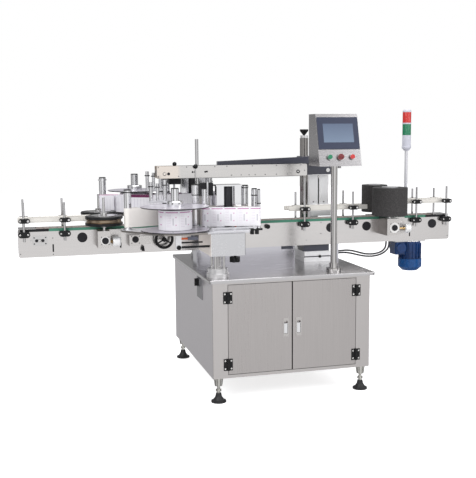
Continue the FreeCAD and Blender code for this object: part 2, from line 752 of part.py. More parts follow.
def operator_panel():
    post = fuse(rod(post_x, post_y, table_top + 18, case_low, post_radius),
                rod(post_x, post_y, table_top, table_top + 18, 41),
                rod(post_x, post_y, table_top + 18, table_top + 46, 24))
    save("hmi_post", [post])
    profile = [(case_back, case_low), (case_low_front, case_low), (case_top_front, case_high),
               (case_back, case_high)]
    case = side_prism(profile, case_left, case_right)
    bosses = []
    bores = []
    for name, x, radius in button_places:
        base = on_slope(x, button_z)
        bosses.append(Part.makeCylinder(radius + 3.5, ring_height, base, panel_plane))
        bores.append(Part.makeCylinder(radius + running_fit, 30, base - panel_plane * 19,
                                       panel_plane))
    case = fuse(case, *bosses).cut(bores)
    gland = rod(post_x + 30, post_y, case_low - 14, case_low, 9)
    save("hmi_case", [case, gland])
    screen = []
    for half_x, half_s, rise0, rise1 in ((115.0, 86.0, 0.0, 6.0), (85.0, 50.5, 6.0, 6.8)):
        middle = on_slope((case_left + case_right) / 2, 1402.0)
        along = V(0, -panel_plane.z, panel_plane.y) * -1
        base = middle + panel_plane * rise0
        corners = [base + V(sx * half_x, 0, 0) + along * (ss * half_s)
                   for sx, ss in ((-1, -1), (1, -1), (1, 1), (-1, 1))]
        face = Part.Face(Part.makePolygon(corners + corners[:1]))
        screen.append(face.extrude(panel_plane * (rise1 - rise0)))
    save("touch_screen", screen)
    for name, x, radius in button_places:
        base = on_slope(x, button_z) - panel_plane * 12
        button = Part.makeCylinder(radius, 12 + button_height, base, panel_plane)
        if name == "mode_knob":
            ridge = Part.makeBox(2 * radius - 4, 8, 8, V(-radius + 2, -4, 0))
            turn = FreeCAD.Rotation(V(0, 0, 1), panel_plane)
            ridge.Placement = FreeCAD.Placement(base + panel_plane * (11 + button_height), turn)
            button = fuse(button, ridge)
        save(name, [button])


# Signal tower: pole on a bracket behind the conveyor, with two lenses
def signal_tower():
    base = tower_pole_top
    pole = rod(tower_x, tower_y, plate_bottom + 77, base, 9.5)
    bracket = block(tower_x - 22, tower_x + 22, conveyor_width / 2, tower_y + 18,
                    plate_bottom + 80, plate_bottom + 113)
    bracket = bracket.cut(pole)
    r = tower_radius
    green_low = base + tower_body_height
    ring_low = green_low + tower_green_height
    red_low = ring_low + tower_ring_height
    cap_low = red_low + tower_red_height
    top = cap_low + tower_cap_height
    body = turned(tower_x, tower_y, [(0, base), (14, base), (r + 2, base + 16), (r + 2, base + 26),
                                     (r, base + 28), (r, green_low), (0, green_low)])
    green = rod(tower_x, tower_y, green_low, ring_low, r)
    ring = rod(tower_x, tower_y, ring_low, red_low, r + 0.5)
    red = rod(tower_x, tower_y, red_low, cap_low, r)
    cap = turned(tower_x, tower_y, [(0, cap_low), (r, cap_low), (r, cap_low + 9), (r - 6, top),
                                    (0, top)])
    save("signal_tower", [pole, bracket, body, green, ring, red, cap])


# Columns: four chrome rods and a screw under each label head, and the
# chrome column of the hold-down unit
def support_columns():
    solids = []
    for rear, shift, rise in ((False, 0.0, 0.0), (True, rear_column_shift, head_rise)):
        x, y = column_x + shift, -column_y
        flange = turned(x, y, [(0, table_top), (60, table_top), (60, table_top + 20),
                               (54, table_top + 24), (54, table_top + 46), (0, table_top + 46)])
        rods = [rod(x, y, table_top + 46, 850 + rise, 9)]
        for dx in (-column_rod_dx, column_rod_dx):
            for dy in (-column_rod_dy, column_rod_dy):
                rods.append(rod(x + dx, y + dy, table_top + 46, 850 + rise, column_rod))
        column = fuse(flange, *rods)
        solids.append(mirrored(column) if rear else column)
    foot = rod(lift_x, lift_y, table_top + 60, table_top + 78, 42)
    mast = rod(lift_x, lift_y, table_top + 78, lift_top, lift_radius)
    solids.append(fuse(foot, mast).cut(rod(lift_x, lift_y, lift_top - 40, lift_top + 1, 7.05)))
    guide_y = 176.0
    for x0, x1 in ((450.0, 508.0), (516.0, 576.0)):
        solids.append(block(x0, x1, guide_y, guide_y + 12, 972, 1150))
    solids.append(block(450, 580, guide_y - 30, guide_y + 30, 902, 972))
    solids.append(block(452, 500, guide_y - 24, guide_y + 24, table_top + 60, 902))
    save("support_columns", solids)


# Hold-down arm: dark clamp block on the column with a tapered arm forward
# along the top of the beam
def lift_arm():
    bore = rod(lift_x, lift_y, 1100, 1300, lift_radius + running_fit)
    clamp = block(lift_x - 38, lift_x + 38, lift_y - 40, lift_y + 22, arm_low, 1267)
    ear = block(lift_x + 38, 582, lift_y - 20, lift_y + 20, arm_low, arm_mid)
    cross = block(lift_x - 38, lift_x + 38, 0, lift_y - 40, beam_high + 0.2, 1267)
    taper = [(-163, beam_high + 0.2), (lift_x - 38, beam_high + 0.2), (lift_x - 38, 1267),
             (-163, 1248)]
    arm = fuse(clamp, ear, cross, front_prism(taper, 0, beam_half)).cut(bore)
    bolt = rod_y(553, 1181, lift_y - 26, lift_y - 20, 12)
    save("lift_arm", [arm, bolt])
    knob = turned(lift_x, lift_y, [(0, lift_top - 30), (7, lift_top - 30), (7, lift_top + 20),
                                   (10, lift_top + 22), (25, lift_top + 42),
                                   (25, lift_top + 52), (0, lift_top + 52)])
    collar = rod(lift_x, lift_y, lift_top + 0.3, lift_top + 16, 22)
    save("lift_knob", [fuse(knob, collar)])


# Hold-down beam: two stainless plates on a slider bar, end pulleys, and
# an upright rod with ball knobs
def hold_down_beam():
    inner = beam_half - beam_plate
    profile = block(beam_left, beam_right, -beam_half, -inner, beam_low, beam_high)
    rounded = [edge for edge in profile.Edges if edge.Length < beam_plate + 0.01
               and edge.BoundBox.XMin > beam_right - 1]
    plate = profile.makeFillet(9, rounded)
    plates = both_sides(plate)
    bar = block(-440, 275, -inner, inner, beam_low + 0.4, beam_low + 45)
    solids = plates + [bar]
    for x in (-485.0, 325.0):
        pulley = rod_y(x, 1188, -26, 26, 27.6)
        solids.append(fuse(pulley, rod_y(x, 1188, -inner, inner, 8)))
    upright = rod(-290, -20, beam_high, 1375, 9.5)
    foot = block(-306, -274, -inner, inner, 1219.4, beam_high)
    solids.append(fuse(upright, foot))
    probe = rod(-303, -beam_half - 4, 1009, 1224, 3)
    knob = Part.makeSphere(13, V(-303, -beam_half - 9, 1224))
    second = Part.makeSphere(12, V(-419, -beam_half + 6, 1239))
    solids += [fuse(probe, knob, rod_y(-303, 1224, -beam_half - 6, -beam_half, 5)),
               second.cut(block(-440, -400, -beam_half, -inner, beam_low, beam_high))]
    ring = rod_y(304, 1184, -beam_half - 4, -beam_half, 11)
    solids.append(ring)
    save("hold_down_beam", solids)
    belt = stadium(-80, 1188, 405, 31, -25, 25).cut(stadium(-80, 1188, 405, 28, -26, 26))
    save("hold_down_belt", [belt])


# One label head, built on the front side and mirrored for the back.
# Plan places are measured from the head's own datum at the conveyor.
def label_head(name, rear, shift, rise, base, reel_x, reel_radius, dancer_x, left_x, left_y):
    reel_y = reel_radius - reach
    x_reel = reel_x + shift
    web_high = web_low + web_width
    centre_gap = web_gap + web_thickness / 2

    def finish(node, solids):
        placed = []
        for solid in solids:
            solid = mirrored(solid) if rear else solid
            placed.append(solid.translated(V(0, 0, rise)))
        save(name + "_" + node, placed)

    idle = (left_x, left_y, 20.0)
    dancer_post = (dancer_x, -140.0, 10.5)
    rewind = (-338.0 + shift, -184.0, 20.5)
    entry = (-302.0 + shift, -246.0, 13.5)
    turn_bar = (-20.0 + shift, -322.0, 8.5)
    nose = (60.0 + shift, -66.0, 3.0)
    drive = (-160.0 + shift, -200.0, 25.0)
    silver = (-64.0 + shift, -200.0, 20.0)
    tension = (-36.0 + shift, -290.0, 16.0)

    # Deck, lifting block bored for the column rods, and the drive bracket
    joint_x = -560 + shift
    arm = [(left_x - 37, left_y + 25), (left_x - 37, left_y - 20), (joint_x, -436),
           (joint_x, min(-124, left_y + 42))]
    outline = [(joint_x, -436), (-330 + shift, -436), (-330 + shift, -block_front - 3),
               (-100 + shift, -block_front - 3), (-75 + shift, -350), (-75 + shift, -124),
               (joint_x, -124)]
    nose_plate = [(-75 + shift, -264), (3 + shift, -264), (57 + shift, -92), (40 + shift, -78),
                  (-60 + shift, -78), (-75 + shift, -124)]
    deck = plan_prism(outline, deck_bottom, deck_top)
    deck_arm = plan_prism(arm, deck_bottom, deck_top)
    deck_nose = plan_prism(nose_plate, deck_bottom, deck_top)
    deck = deck.cut(rod(drive[0], drive[1], deck_bottom - 1, deck_top + 1, 6 + running_fit))
    lift_block = block(block_left + base, block_right + base, -block_front, -block_back,
                       block_bottom, deck_bottom)
    screw_x = column_x + base
    holes = [rod(screw_x, -column_y, block_bottom - 1, deck_bottom - 4, 9 + running_fit)]
    for dx in (-column_rod_dx, column_rod_dx):
        for dy in (-column_rod_dy, column_rod_dy):
            holes.append(rod(screw_x + dx, -column_y + dy, block_bottom - 1, deck_bottom - 4,
                             column_rod + running_fit))
    knob_x, knob_at = -172.0 + base, -380.0
    holes.append(rod(knob_x, knob_at, block_bottom - 1, block_bottom + 26, 6 + running_fit))
    lift_block = lift_block.cut(holes)
    spindle = turned(x_reel, reel_y, [(0, deck_top), (30, deck_top), (30, disc_low - 0.3),
                                      (spindle_radius, disc_low - 0.3), (spindle_radius, 1116),
                                      (0, 1116)])
    bar = block(-288 + shift, -40 + shift, -352, -342, deck_top + 5, deck_top + 12)
    feet = [block(x + shift - 6, x + shift + 6, -352, -342, deck_top, deck_top + 5)
            for x in (-280, -164, -50)]
    bar = fuse(bar, *feet)
    left_post = block(drive[0] - 70, drive[0] - 29, -230, -186, deck_top, 1122)
    right_post = fuse(block(drive[0] + 30, drive[0] + 48, -186, -162, deck_top, 1122),
                      block(drive[0] + 32, drive[0] + 70, -225, -180, web_high + 6, 1122))
    top = block(drive[0] - 74, drive[0] + 72, -234, -160, 1122, 1130)
    top = top.cut(rod(drive[0], drive[1], 1121, 1131, 6 + running_fit))
    frame = [left_post, right_post, top]
    lever = rod_x(-395, 822, block_left + base - 150, block_left + base, 6)
    solids = [deck, deck_arm, deck_nose, lift_block, spindle, bar, lever] + frame
    finish("head_deck", solids)

    # Guide bars and rollers with their collars, and the peel plate
    guides = []

    def guide(place, top, collar_z, collar_radius, foot=5.0):
        x, y, radius = place
        return turned(x, y, [(0, deck_top), (radius + foot, deck_top), (radius + foot, deck_top + 5),
                             (radius, deck_top + 6), (radius, collar_z),
                             (collar_radius, collar_z), (collar_radius, collar_z + 5),
                             (radius, collar_z + 5), (radius, top - 5), (radius - 2, top),
                             (0, top)])

    guides.append(guide(idle, 1114, 1096, 25))
    guides.append(guide(rewind, 1134, 1074, 21.2))
    guides.append(guide(entry, 1115, 1018, 16))
    guides.append(guide(silver, 1125, 1108, 20.6))
    guides.append(guide(tension, 1112, 1072, 20))
    guides.append(guide(turn_bar, 1110, 1030, 12, 1.5))
    carrier = block(-75 + shift, -4 + shift, -338, -264, deck_bottom, deck_top)
    prongs = [block(x + shift, x + shift + 15, -338, -310, deck_bottom - 21, deck_bottom)
              for x in (-67.0, -40.0)]
    guides.append(carrier if rear else fuse(carrier, *prongs))
    x, y, radius = dancer_post
    guides.append(turned(x, y, [(0, deck_top), (radius + 4, deck_top), (radius + 4, deck_top + 5),
                                (radius, deck_top + 6), (radius, 1030), (radius + 4, 1030),
                                (radius + 4, 1035.7), (radius, 1035.7), (radius, 1128),
                                (radius + 5, 1128), (radius + 5, 1133), (radius, 1133),
                                (radius, 1160), (radius - 2, 1165), (0, 1165)]))
    coder_rod = rod(-272 + shift, -194, deck_top, 1147, 6)
    coder = block(-309 + shift, -239 + shift, -190, -150, 1070, 1140).cut(coder_rod)
    guides += [coder, coder_rod]
    heading = math.atan2(nose[1] - turn_bar[1], nose[0] - turn_bar[0])
    ahead = V(math.cos(heading), math.sin(heading), 0)
    beside = V(-math.sin(heading), math.cos(heading), 0)
    tip = V(nose[0], nose[1], 0) - ahead * 4
    back = tip - ahead * 185
    peel = [tip + beside * 1.5, back + beside * 1.5, back - beside * 1.5, tip - beside * 1.5]
    guides.append(plan_prism([(p.x, p.y) for p in peel], deck_top, web_high + 6))
    finish("web_guides", guides)

    # Label web from the roll over the rollers to the peel edge, and the
    # empty liner back past the drive roller to the idle roller
    start = (x_reel, reel_y, roll_radius + 0.3 + web_thickness / 2, 1)
    path = [start]
    for place, turn in ((rewind, -1), (entry, 1), (turn_bar, 1), (nose, 1), (tension, -1),
                        (drive, 1), (dancer_post, 1), (idle, -1)):
        path.append((place[0], place[1], place[2] + centre_gap, turn))
    path.append((left_x + 60, left_y + 34, 0.0, -1))
    finish("label_web", [roller_band(path, web_thickness, web_low, web_high)])

    # Reel: lower and upper discs, stepped hub with a lock flange, and roll
    bore = spindle_radius + running_fit
    lower = turned(x_reel, reel_y, [(bore, disc_low), (reel_radius - 2, disc_low),
                                    (reel_radius, disc_low + 2), (reel_radius, disc_low + 3),
                                    (reel_radius - 2, disc_low + disc_thickness),
                                    (bore, disc_low + disc_thickness)])
    low = disc_low + disc_thickness
    hub = turned(x_reel, reel_y, [(bore, low), (core_radius, low), (core_radius, disc_high),
                                  (21.5, disc_high), (21.5, 1122), (19, 1126), (0, 1126),
                                  (0, 1117), (bore, 1117)])
    upper = turned(x_reel, reel_y, [(21.5, disc_high), (reel_radius - 2, disc_high),
                                    (reel_radius, disc_high + 2), (reel_radius, disc_high + 3),
                                    (reel_radius - 2, disc_high + disc_thickness),
                                    (21.5, disc_high + disc_thickness)])
    lock_low = disc_high + disc_thickness
    lock = turned(x_reel, reel_y, [(21.5, lock_low), (44, lock_low), (44, lock_low + 24),
                                   (41, lock_low + 27), (21.5, lock_low + 27)])
    finish("reel_plates", [lower, hub, upper, lock])
    finish("label_roll", [turned(x_reel, reel_y, [(core_radius, web_low), (roll_radius, web_low),
                                                  (roll_radius, web_high),
                                                  (core_radius, web_high)])])

    # Rubber drive roller on its axle
    x, y, radius = drive
    finish("drive_roller", [turned(x, y, [(0, deck_bottom + 0.5), (6, deck_bottom + 0.5),
                                          (6, deck_top + 3), (radius - 2, deck_top + 3),
                                          (radius, deck_top + 5), (radius, 1116),
                                          (radius - 2, 1118), (6, 1118), (6, 1129), (0, 1129)])])

    # Dancer arm turning on its post, with two upright rods
    x, y, radius = dancer_post
    plate = block(x - 88, x, y - 11, y + 11, 1036, 1046)
    plate = fuse(plate, rod(x, y, 1036, 1046, 18)).cut(rod(x, y, 1030, 1050, radius + running_fit))
    rods = [fuse(rod(x - 40, y, 1046, 1140, 9), rod(x - 40, y, 1118, 1123, 14)),
            fuse(rod(x - 76, y, 1046, 1148, 10), rod(x - 76, y, 1122, 1127, 15))]
    finish("dancer_arm", [plate] + rods)

    # Star knob that clamps the head at its height
    knob = rod(knob_x, knob_at, block_bottom - 40, block_bottom - 12, 17)
    lobes = []
    for index in range(6):
        angle = 2 * math.pi * index / 6
        lobes.append(rod(knob_x + 18 * math.cos(angle), knob_at + 18 * math.sin(angle),
                         block_bottom - 40, block_bottom - 12, 10))
    stem = rod(knob_x, knob_at, block_bottom - 12, block_bottom + 25, 6)
    finish("star_knob", [fuse(knob, stem, *lobes)])


# A cable as straight runs joined by tangent arcs
def cable(name, points, radius):
    corners = [V(*point) for point in points]
    edges = []
    start = corners[0]
    for before, corner, after in zip(corners, corners[1:], corners[2:]):
        arriving = corner - before
        leaving = after - corner
        turn = arriving.getAngle(leaving)
        reach_back = 0.45 * min(arriving.Length, leaving.Length)
        bend_radius = reach_back / math.tan(turn / 2)
        print(name, "bend radius", round(bend_radius, 1))
        arriving.normalize()
        leaving.normalize()
        a = corner - arriving * reach_back
        b = corner + leaving * reach_back
        across = (leaving - arriving).normalize()
        centre_distance = bend_radius / math.cos(turn / 2)
        through = corner + across * (centre_distance - bend_radius)
        edges.append(Part.LineSegment(start, a).toShape())
        edges.append(Part.Arc(a, through, b).toShape())
        start = b
    edges.append(Part.LineSegment(start, corners[-1]).toShape())
    path = Part.Wire(edges)
    first = corners[1] - corners[0]
    section = Part.Wire(Part.makeCircle(radius, corners[0], first))
    tube = path.makePipeShell([section], True, False)
    print(name, "length", round(path.Length, 1), "volume ratio",
          round(tube.Volume / (math.pi * radius ** 2 * path.Length), 4))
    save(name, [tube])


cable_radius = 5.0
motor_cable_points = ((862, -45, 755), (862, -45, 725), (844, -45, 700), (812, -44, 686),
                      (770, -42, 681), (728, -39, 684), (688, -35, 695), (650, -30, 706),
                      (612, -24, 710), (583, -20, 707), (555, -20, 707))
drive_cable_points = ((882, -45, 755), (882, -45, 722), (862, -42, 694), (826, -38, 674),
                      (778, -34, 666), (728, -30, 669), (688, -25, 678), (650, -16, 688),
                      (616, -6, 693), (584, 2, 692), (555, 2, 692))

slat_chain()
conveyor_side_plates()
conveyor_ties()
wear_strips()
sprockets()
conveyor_pedestal()
gearmotor()
guide_rails()
drive_boxes()
gap_knobs()
handwheel()
separator_wheels()
press_rollers()
machine_table()
cabinet_shell()
doors()
cabinet_fittings()
levelling_feet()
control_panel()
operator_panel()
signal_tower()
support_columns()
lift_arm()
hold_down_beam()
label_head("front", False, 0.0, 0.0, 0.0, -480.0, 181.0, -497.0, -704.0, -165.0)
label_head("rear", True, head_shift, head_rise, rear_column_shift, -480.0, 159.0, -470.0, -787.0,
           -270.0)
cable("motor_cable", motor_cable_points, cable_radius)
cable("drive_cable", drive_cable_points, cable_radius)
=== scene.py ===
import math

import bpy
import numpy as np
from mathutils import Matrix, Vector


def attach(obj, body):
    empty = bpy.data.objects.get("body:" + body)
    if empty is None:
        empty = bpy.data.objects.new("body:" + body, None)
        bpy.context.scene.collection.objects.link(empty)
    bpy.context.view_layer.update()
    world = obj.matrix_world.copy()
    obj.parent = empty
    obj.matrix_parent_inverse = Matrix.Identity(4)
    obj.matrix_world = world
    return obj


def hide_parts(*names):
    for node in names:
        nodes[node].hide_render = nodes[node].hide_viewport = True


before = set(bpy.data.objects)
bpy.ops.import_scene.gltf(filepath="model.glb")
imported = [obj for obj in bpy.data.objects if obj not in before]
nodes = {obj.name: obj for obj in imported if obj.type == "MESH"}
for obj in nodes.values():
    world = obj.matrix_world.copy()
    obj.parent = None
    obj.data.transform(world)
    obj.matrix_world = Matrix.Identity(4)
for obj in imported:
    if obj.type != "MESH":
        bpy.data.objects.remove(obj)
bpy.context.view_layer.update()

scene = bpy.context.scene


# Camera: stands to the left of the machine, a little above its table,
# and looks at the middle of the conveyor.
camera_place = Vector((-1.3164, -4.5965, 1.4119))
yaw, pitch, roll = 0.2691, 0.1275, -0.0075
forward = Vector((math.sin(yaw) * math.cos(pitch), math.cos(yaw) * math.cos(pitch), -math.sin(pitch)))
level = Vector((math.cos(yaw), -math.sin(yaw), 0.0))
upright = level.cross(forward)
right = level * math.cos(roll) + upright * math.sin(roll)
upward = upright * math.cos(roll) - level * math.sin(roll)
lens = bpy.data.cameras.new("photo_camera")
lens.sensor_width = 36.0
lens.lens = 62.77
lens.clip_end = 60.0
camera = bpy.data.objects.new("photo_camera", lens)
turn = Matrix((right, upward, -forward)).transposed().to_4x4()
camera.matrix_world = Matrix.Translation(camera_place) @ turn
scene.collection.objects.link(camera)
scene.camera = camera


# Studio: a pale floor and a white surround for the camera. Polished metal
# mirrors a soft box in front, darker gaps to either side and a dim back wall.
scene.view_settings.view_transform = "Standard"
world = bpy.data.worlds.new("studio")
scene.world = world
world.use_nodes = True
world.cycles.sampling_method = "NONE"
tree = world.node_tree
tree.nodes.clear()


def math_node(tree, operation, first, second=None):
    """One Math node; each input is a number or another node's output."""
    node = tree.nodes.new("ShaderNodeMath")
    node.operation = operation
    for index, value in enumerate((first, second)):
        if isinstance(value, (int, float)):
            node.inputs[index].default_value = value
        elif value is not None:
            tree.links.new(value, node.inputs[index])
    return node.outputs[0]


def spread_range(tree, value, low, high, start=0.0, end=1.0):
    """A value carried from low..high to start..end, held at the ends."""
    node = tree.nodes.new("ShaderNodeMapRange")
    node.inputs["From Min"].default_value = low
    node.inputs["From Max"].default_value = high
    node.inputs["To Min"].default_value = start
    node.inputs["To Max"].default_value = end
    tree.links.new(value, node.inputs["Value"])
    return node.outputs[0]


def grey_ramp(tree, value, stops):
    """A ramp of greys, given as pairs of place and level."""
    node = tree.nodes.new("ShaderNodeValToRGB")
    ramp = node.color_ramp
    while len(ramp.elements) < len(stops):
        ramp.elements.new(0.5)
    for element, (place, level) in zip(ramp.elements, stops):
        element.position = place
        element.color = (level, level, level, 1)
    tree.links.new(value, node.inputs["Fac"])
    return node.outputs["Color"]


def blend_color(tree, amount, first, second, kind="MIX"):
    """A colour mix; each colour is a tuple or another node's output."""
    node = tree.nodes.new("ShaderNodeMix")
    node.data_type = "RGBA"
    node.blend_type = kind
    for name, value in (("Factor", amount), ("A", first), ("B", second)):
        sockets = [s for s in node.inputs if s.name == name and s.enabled]
        if isinstance(value, tuple):
            sockets[0].default_value = (*value[:3], 1)
        elif isinstance(value, (int, float)):
            sockets[0].default_value = value
        else:
            tree.links.new(value, sockets[0])
    return [s for s in node.outputs if s.enabled][0]


place = tree.nodes.new("ShaderNodeTexCoord")
split = tree.nodes.new("ShaderNodeSeparateXYZ")
tree.links.new(place.outputs["Generated"], split.inputs[0])
depth = math_node(tree, "MULTIPLY", split.outputs["Y"], -1.0)
around = math_node(tree, "ABSOLUTE", math_node(tree, "ARCTAN2", split.outputs["X"], depth))
around = math_node(tree, "DIVIDE", around, math.pi)
below = grey_ramp(tree, around, ((0.0, 1.0), (0.17, 1.0), (0.22, 0.22), (0.29, 0.10), (0.36, 0.85),
                                 (0.50, 0.80), (0.56, 0.14), (0.66, 0.16), (0.76, 0.55), (1.0, 0.55)))
above = grey_ramp(tree, around, ((0.0, 1.0), (0.19, 0.95), (0.24, 0.22), (0.30, 0.12), (0.37, 0.75),
                                 (0.50, 0.62), (0.57, 0.16), (0.70, 0.22), (1.0, 0.34)))
falling = spread_range(tree, split.outputs["Z"], -0.36, -0.10, 0.80, 1.0)
below = blend_color(tree, 1.0, below, falling, "MULTIPLY")
wall = blend_color(tree, spread_range(tree, split.outputs["Z"], -0.01, 0.04), below, above)
studio = blend_color(tree, spread_range(tree, split.outputs["Z"], 0.45, 0.95), wall, (0.80, 0.80, 0.82))
eye = tree.nodes.new("ShaderNodeLightPath")
gloss = tree.nodes.new("ShaderNodeBackground")
tree.links.new(studio, gloss.inputs["Color"])
soft = tree.nodes.new("ShaderNodeBackground")
soft.inputs["Color"].default_value = (0.60, 0.60, 0.62, 1)
white = tree.nodes.new("ShaderNodeBackground")
white.inputs["Color"].default_value = (1, 1, 1, 1)
mirror = tree.nodes.new("ShaderNodeMixShader")
tree.links.new(eye.outputs["Is Glossy Ray"], mirror.inputs["Fac"])
tree.links.new(soft.outputs[0], mirror.inputs[1])
tree.links.new(gloss.outputs[0], mirror.inputs[2])
choose = tree.nodes.new("ShaderNodeMixShader")
tree.links.new(eye.outputs["Is Camera Ray"], choose.inputs["Fac"])
tree.links.new(mirror.outputs[0], choose.inputs[1])
tree.links.new(white.outputs[0], choose.inputs[2])
out = tree.nodes.new("ShaderNodeOutputWorld")
tree.links.new(choose.outputs[0], out.inputs["Surface"])

for name, spot, aim, size, power in (
        ("key_light", (-3.4, -3.6, 3.6), (0.0, 0.0, 0.8), 2.6, 150.0),
        ("fill_light", (3.6, -3.2, 2.8), (0.3, 0.0, 0.8), 2.4, 80.0),
        ("top_light", (0.2, 0.2, 4.4), (0.1, 0.0, 0.7), 3.0, 90.0)):
    lamp = bpy.data.lights.new(name, "AREA")
    lamp.size = size
    lamp.energy = power
    holder = bpy.data.objects.new(name, lamp)
    holder.location = spot
    holder.rotation_euler = (Vector(aim) - Vector(spot)).to_track_quat("-Z", "Y").to_euler()
    scene.collection.objects.link(holder)


def new_material(name):
    """An empty node material with its principled shader, tree and output joined."""
    material = bpy.data.materials.new(name)
    material.use_nodes = True
    shader = material.node_tree.nodes["Principled BSDF"]
    return material, material.node_tree, shader


floor_mesh = bpy.data.meshes.new("floor")
floor_mesh.from_pydata([(-14, -9, 0), (14, -9, 0), (14, 16, 0), (-14, 16, 0)], [], [(0, 1, 2, 3)])
floor = bpy.data.objects.new("floor", floor_mesh)
scene.collection.objects.link(floor)
floor_paint, tree, shader = new_material("floor_white")
shader.inputs["Roughness"].default_value = 0.9
shader.inputs["Specular IOR Level"].default_value = 0.0
grain = tree.nodes.new("ShaderNodeTexNoise")
grain.inputs["Scale"].default_value = 2.0
shade = tree.nodes.new("ShaderNodeValToRGB")
shade.color_ramp.elements[0].color = (0.93, 0.93, 0.93, 1)
shade.color_ramp.elements[1].color = (0.96, 0.96, 0.96, 1)
tree.links.new(grain.outputs["Fac"], shade.inputs["Fac"])
tree.links.new(shade.outputs["Color"], shader.inputs["Base Color"])
glow = tree.nodes.new("ShaderNodeEmission")
glow.inputs["Strength"].default_value = 0.62
both = tree.nodes.new("ShaderNodeAddShader")
tree.links.new(shader.outputs[0], both.inputs[0])
tree.links.new(glow.outputs[0], both.inputs[1])
eye = tree.nodes.new("ShaderNodeLightPath")
pick = tree.nodes.new("ShaderNodeMixShader")
tree.links.new(eye.outputs["Is Camera Ray"], pick.inputs["Fac"])
tree.links.new(shader.outputs[0], pick.inputs[1])
tree.links.new(both.outputs[0], pick.inputs[2])
clear = tree.nodes.new("ShaderNodeBsdfTransparent")
through = tree.nodes.new("ShaderNodeMixShader")
tree.links.new(eye.outputs["Is Glossy Ray"], through.inputs["Fac"])
tree.links.new(pick.outputs[0], through.inputs[1])
tree.links.new(clear.outputs[0], through.inputs[2])
tree.links.new(through.outputs[0], tree.nodes["Material Output"].inputs["Surface"])
floor_mesh.materials.append(floor_paint)


def surface(name, color, roughness, metallic=0.0, grain=(40, 40, 40), tint=0.035, vary=0.06,
            bump=0.02, coat=0.0, second=None, cloud=5.0, shine=0.5):
    """A principled surface. A fine noise stretched by grain and a broad noise of scale cloud
    together shift the colour by tint, or on to the second colour, and the roughness by vary;
    the fine one also lifts the surface by bump."""
    material, tree, shader = new_material(name)
    place = tree.nodes.new("ShaderNodeTexCoord")
    stretch = tree.nodes.new("ShaderNodeMapping")
    stretch.inputs["Scale"].default_value = grain
    tree.links.new(place.outputs["Object"], stretch.inputs["Vector"])
    fine = tree.nodes.new("ShaderNodeTexNoise")
    fine.inputs["Scale"].default_value = 1.0
    fine.inputs["Detail"].default_value = 5.0
    fine.inputs["Roughness"].default_value = 0.62
    tree.links.new(stretch.outputs[0], fine.inputs["Vector"])
    broad = tree.nodes.new("ShaderNodeTexNoise")
    broad.inputs["Scale"].default_value = cloud
    broad.inputs["Detail"].default_value = 2.0
    tree.links.new(place.outputs["Object"], broad.inputs["Vector"])
    both = math_node(tree, "ADD", math_node(tree, "MULTIPLY", fine.outputs["Fac"], 0.6),
                     math_node(tree, "MULTIPLY", broad.outputs["Fac"], 0.4))
    share = spread_range(tree, both, 0.36, 0.64)
    low = tuple(max(0.0, c * (1 - tint)) for c in color)
    high = tuple(second) if second else tuple(min(1.0, c * (1 + tint)) for c in color)
    tree.links.new(blend_color(tree, share, low, high), shader.inputs["Base Color"])
    tree.links.new(spread_range(tree, both, 0.30, 0.70, max(0.03, roughness - vary),
                                min(1.0, roughness + vary)), shader.inputs["Roughness"])
    lift = tree.nodes.new("ShaderNodeBump")
    lift.inputs["Strength"].default_value = bump
    lift.inputs["Distance"].default_value = 0.002
    tree.links.new(fine.outputs["Fac"], lift.inputs["Height"])
    tree.links.new(lift.outputs[0], shader.inputs["Normal"])
    shader.inputs["Metallic"].default_value = metallic
    shader.inputs["Coat Weight"].default_value = coat
    shader.inputs["Specular IOR Level"].default_value = shine
    return material


def paint(name, materials, rule=None):
    """Gives a CAD node its materials. rule takes the face centres, their normals and the
    heights of their lowest and highest corners, and returns each face's material index."""
    mesh = nodes[name].data
    mesh.materials.clear()
    for material in materials:
        mesh.materials.append(material)
    count = len(mesh.polygons)
    index = np.zeros(count, np.int32)
    if rule is not None:
        centre = np.zeros(count * 3, np.float32)
        normal = np.zeros(count * 3, np.float32)
        mesh.polygons.foreach_get("center", centre)
        mesh.polygons.foreach_get("normal", normal)
        corner = np.zeros(len(mesh.vertices) * 3, np.float32)
        mesh.vertices.foreach_get("co", corner)
        around = np.zeros(len(mesh.loops), np.int32)
        mesh.loops.foreach_get("vertex_index", around)
        heights = corner.reshape(-1, 3)[around, 2].reshape(count, -1)
        reach = np.stack((heights.min(axis=1), heights.max(axis=1)), axis=1)
        index = np.asarray(rule(centre.reshape(-1, 3), normal.reshape(-1, 3), reach), np.int32)
    mesh.polygons.foreach_set("material_index", index)
    mesh.update()


def place_mesh(name, points, faces, material, body):
    """A new piece from its points and faces, with one material, riding on a body."""
    mesh = bpy.data.meshes.new(name)
    mesh.from_pydata(points.tolist(), [], faces)
    mesh.materials.append(material)
    mesh.update()
    piece = bpy.data.objects.new(name, mesh)
    scene.collection.objects.link(piece)
    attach(piece, body)
    return piece


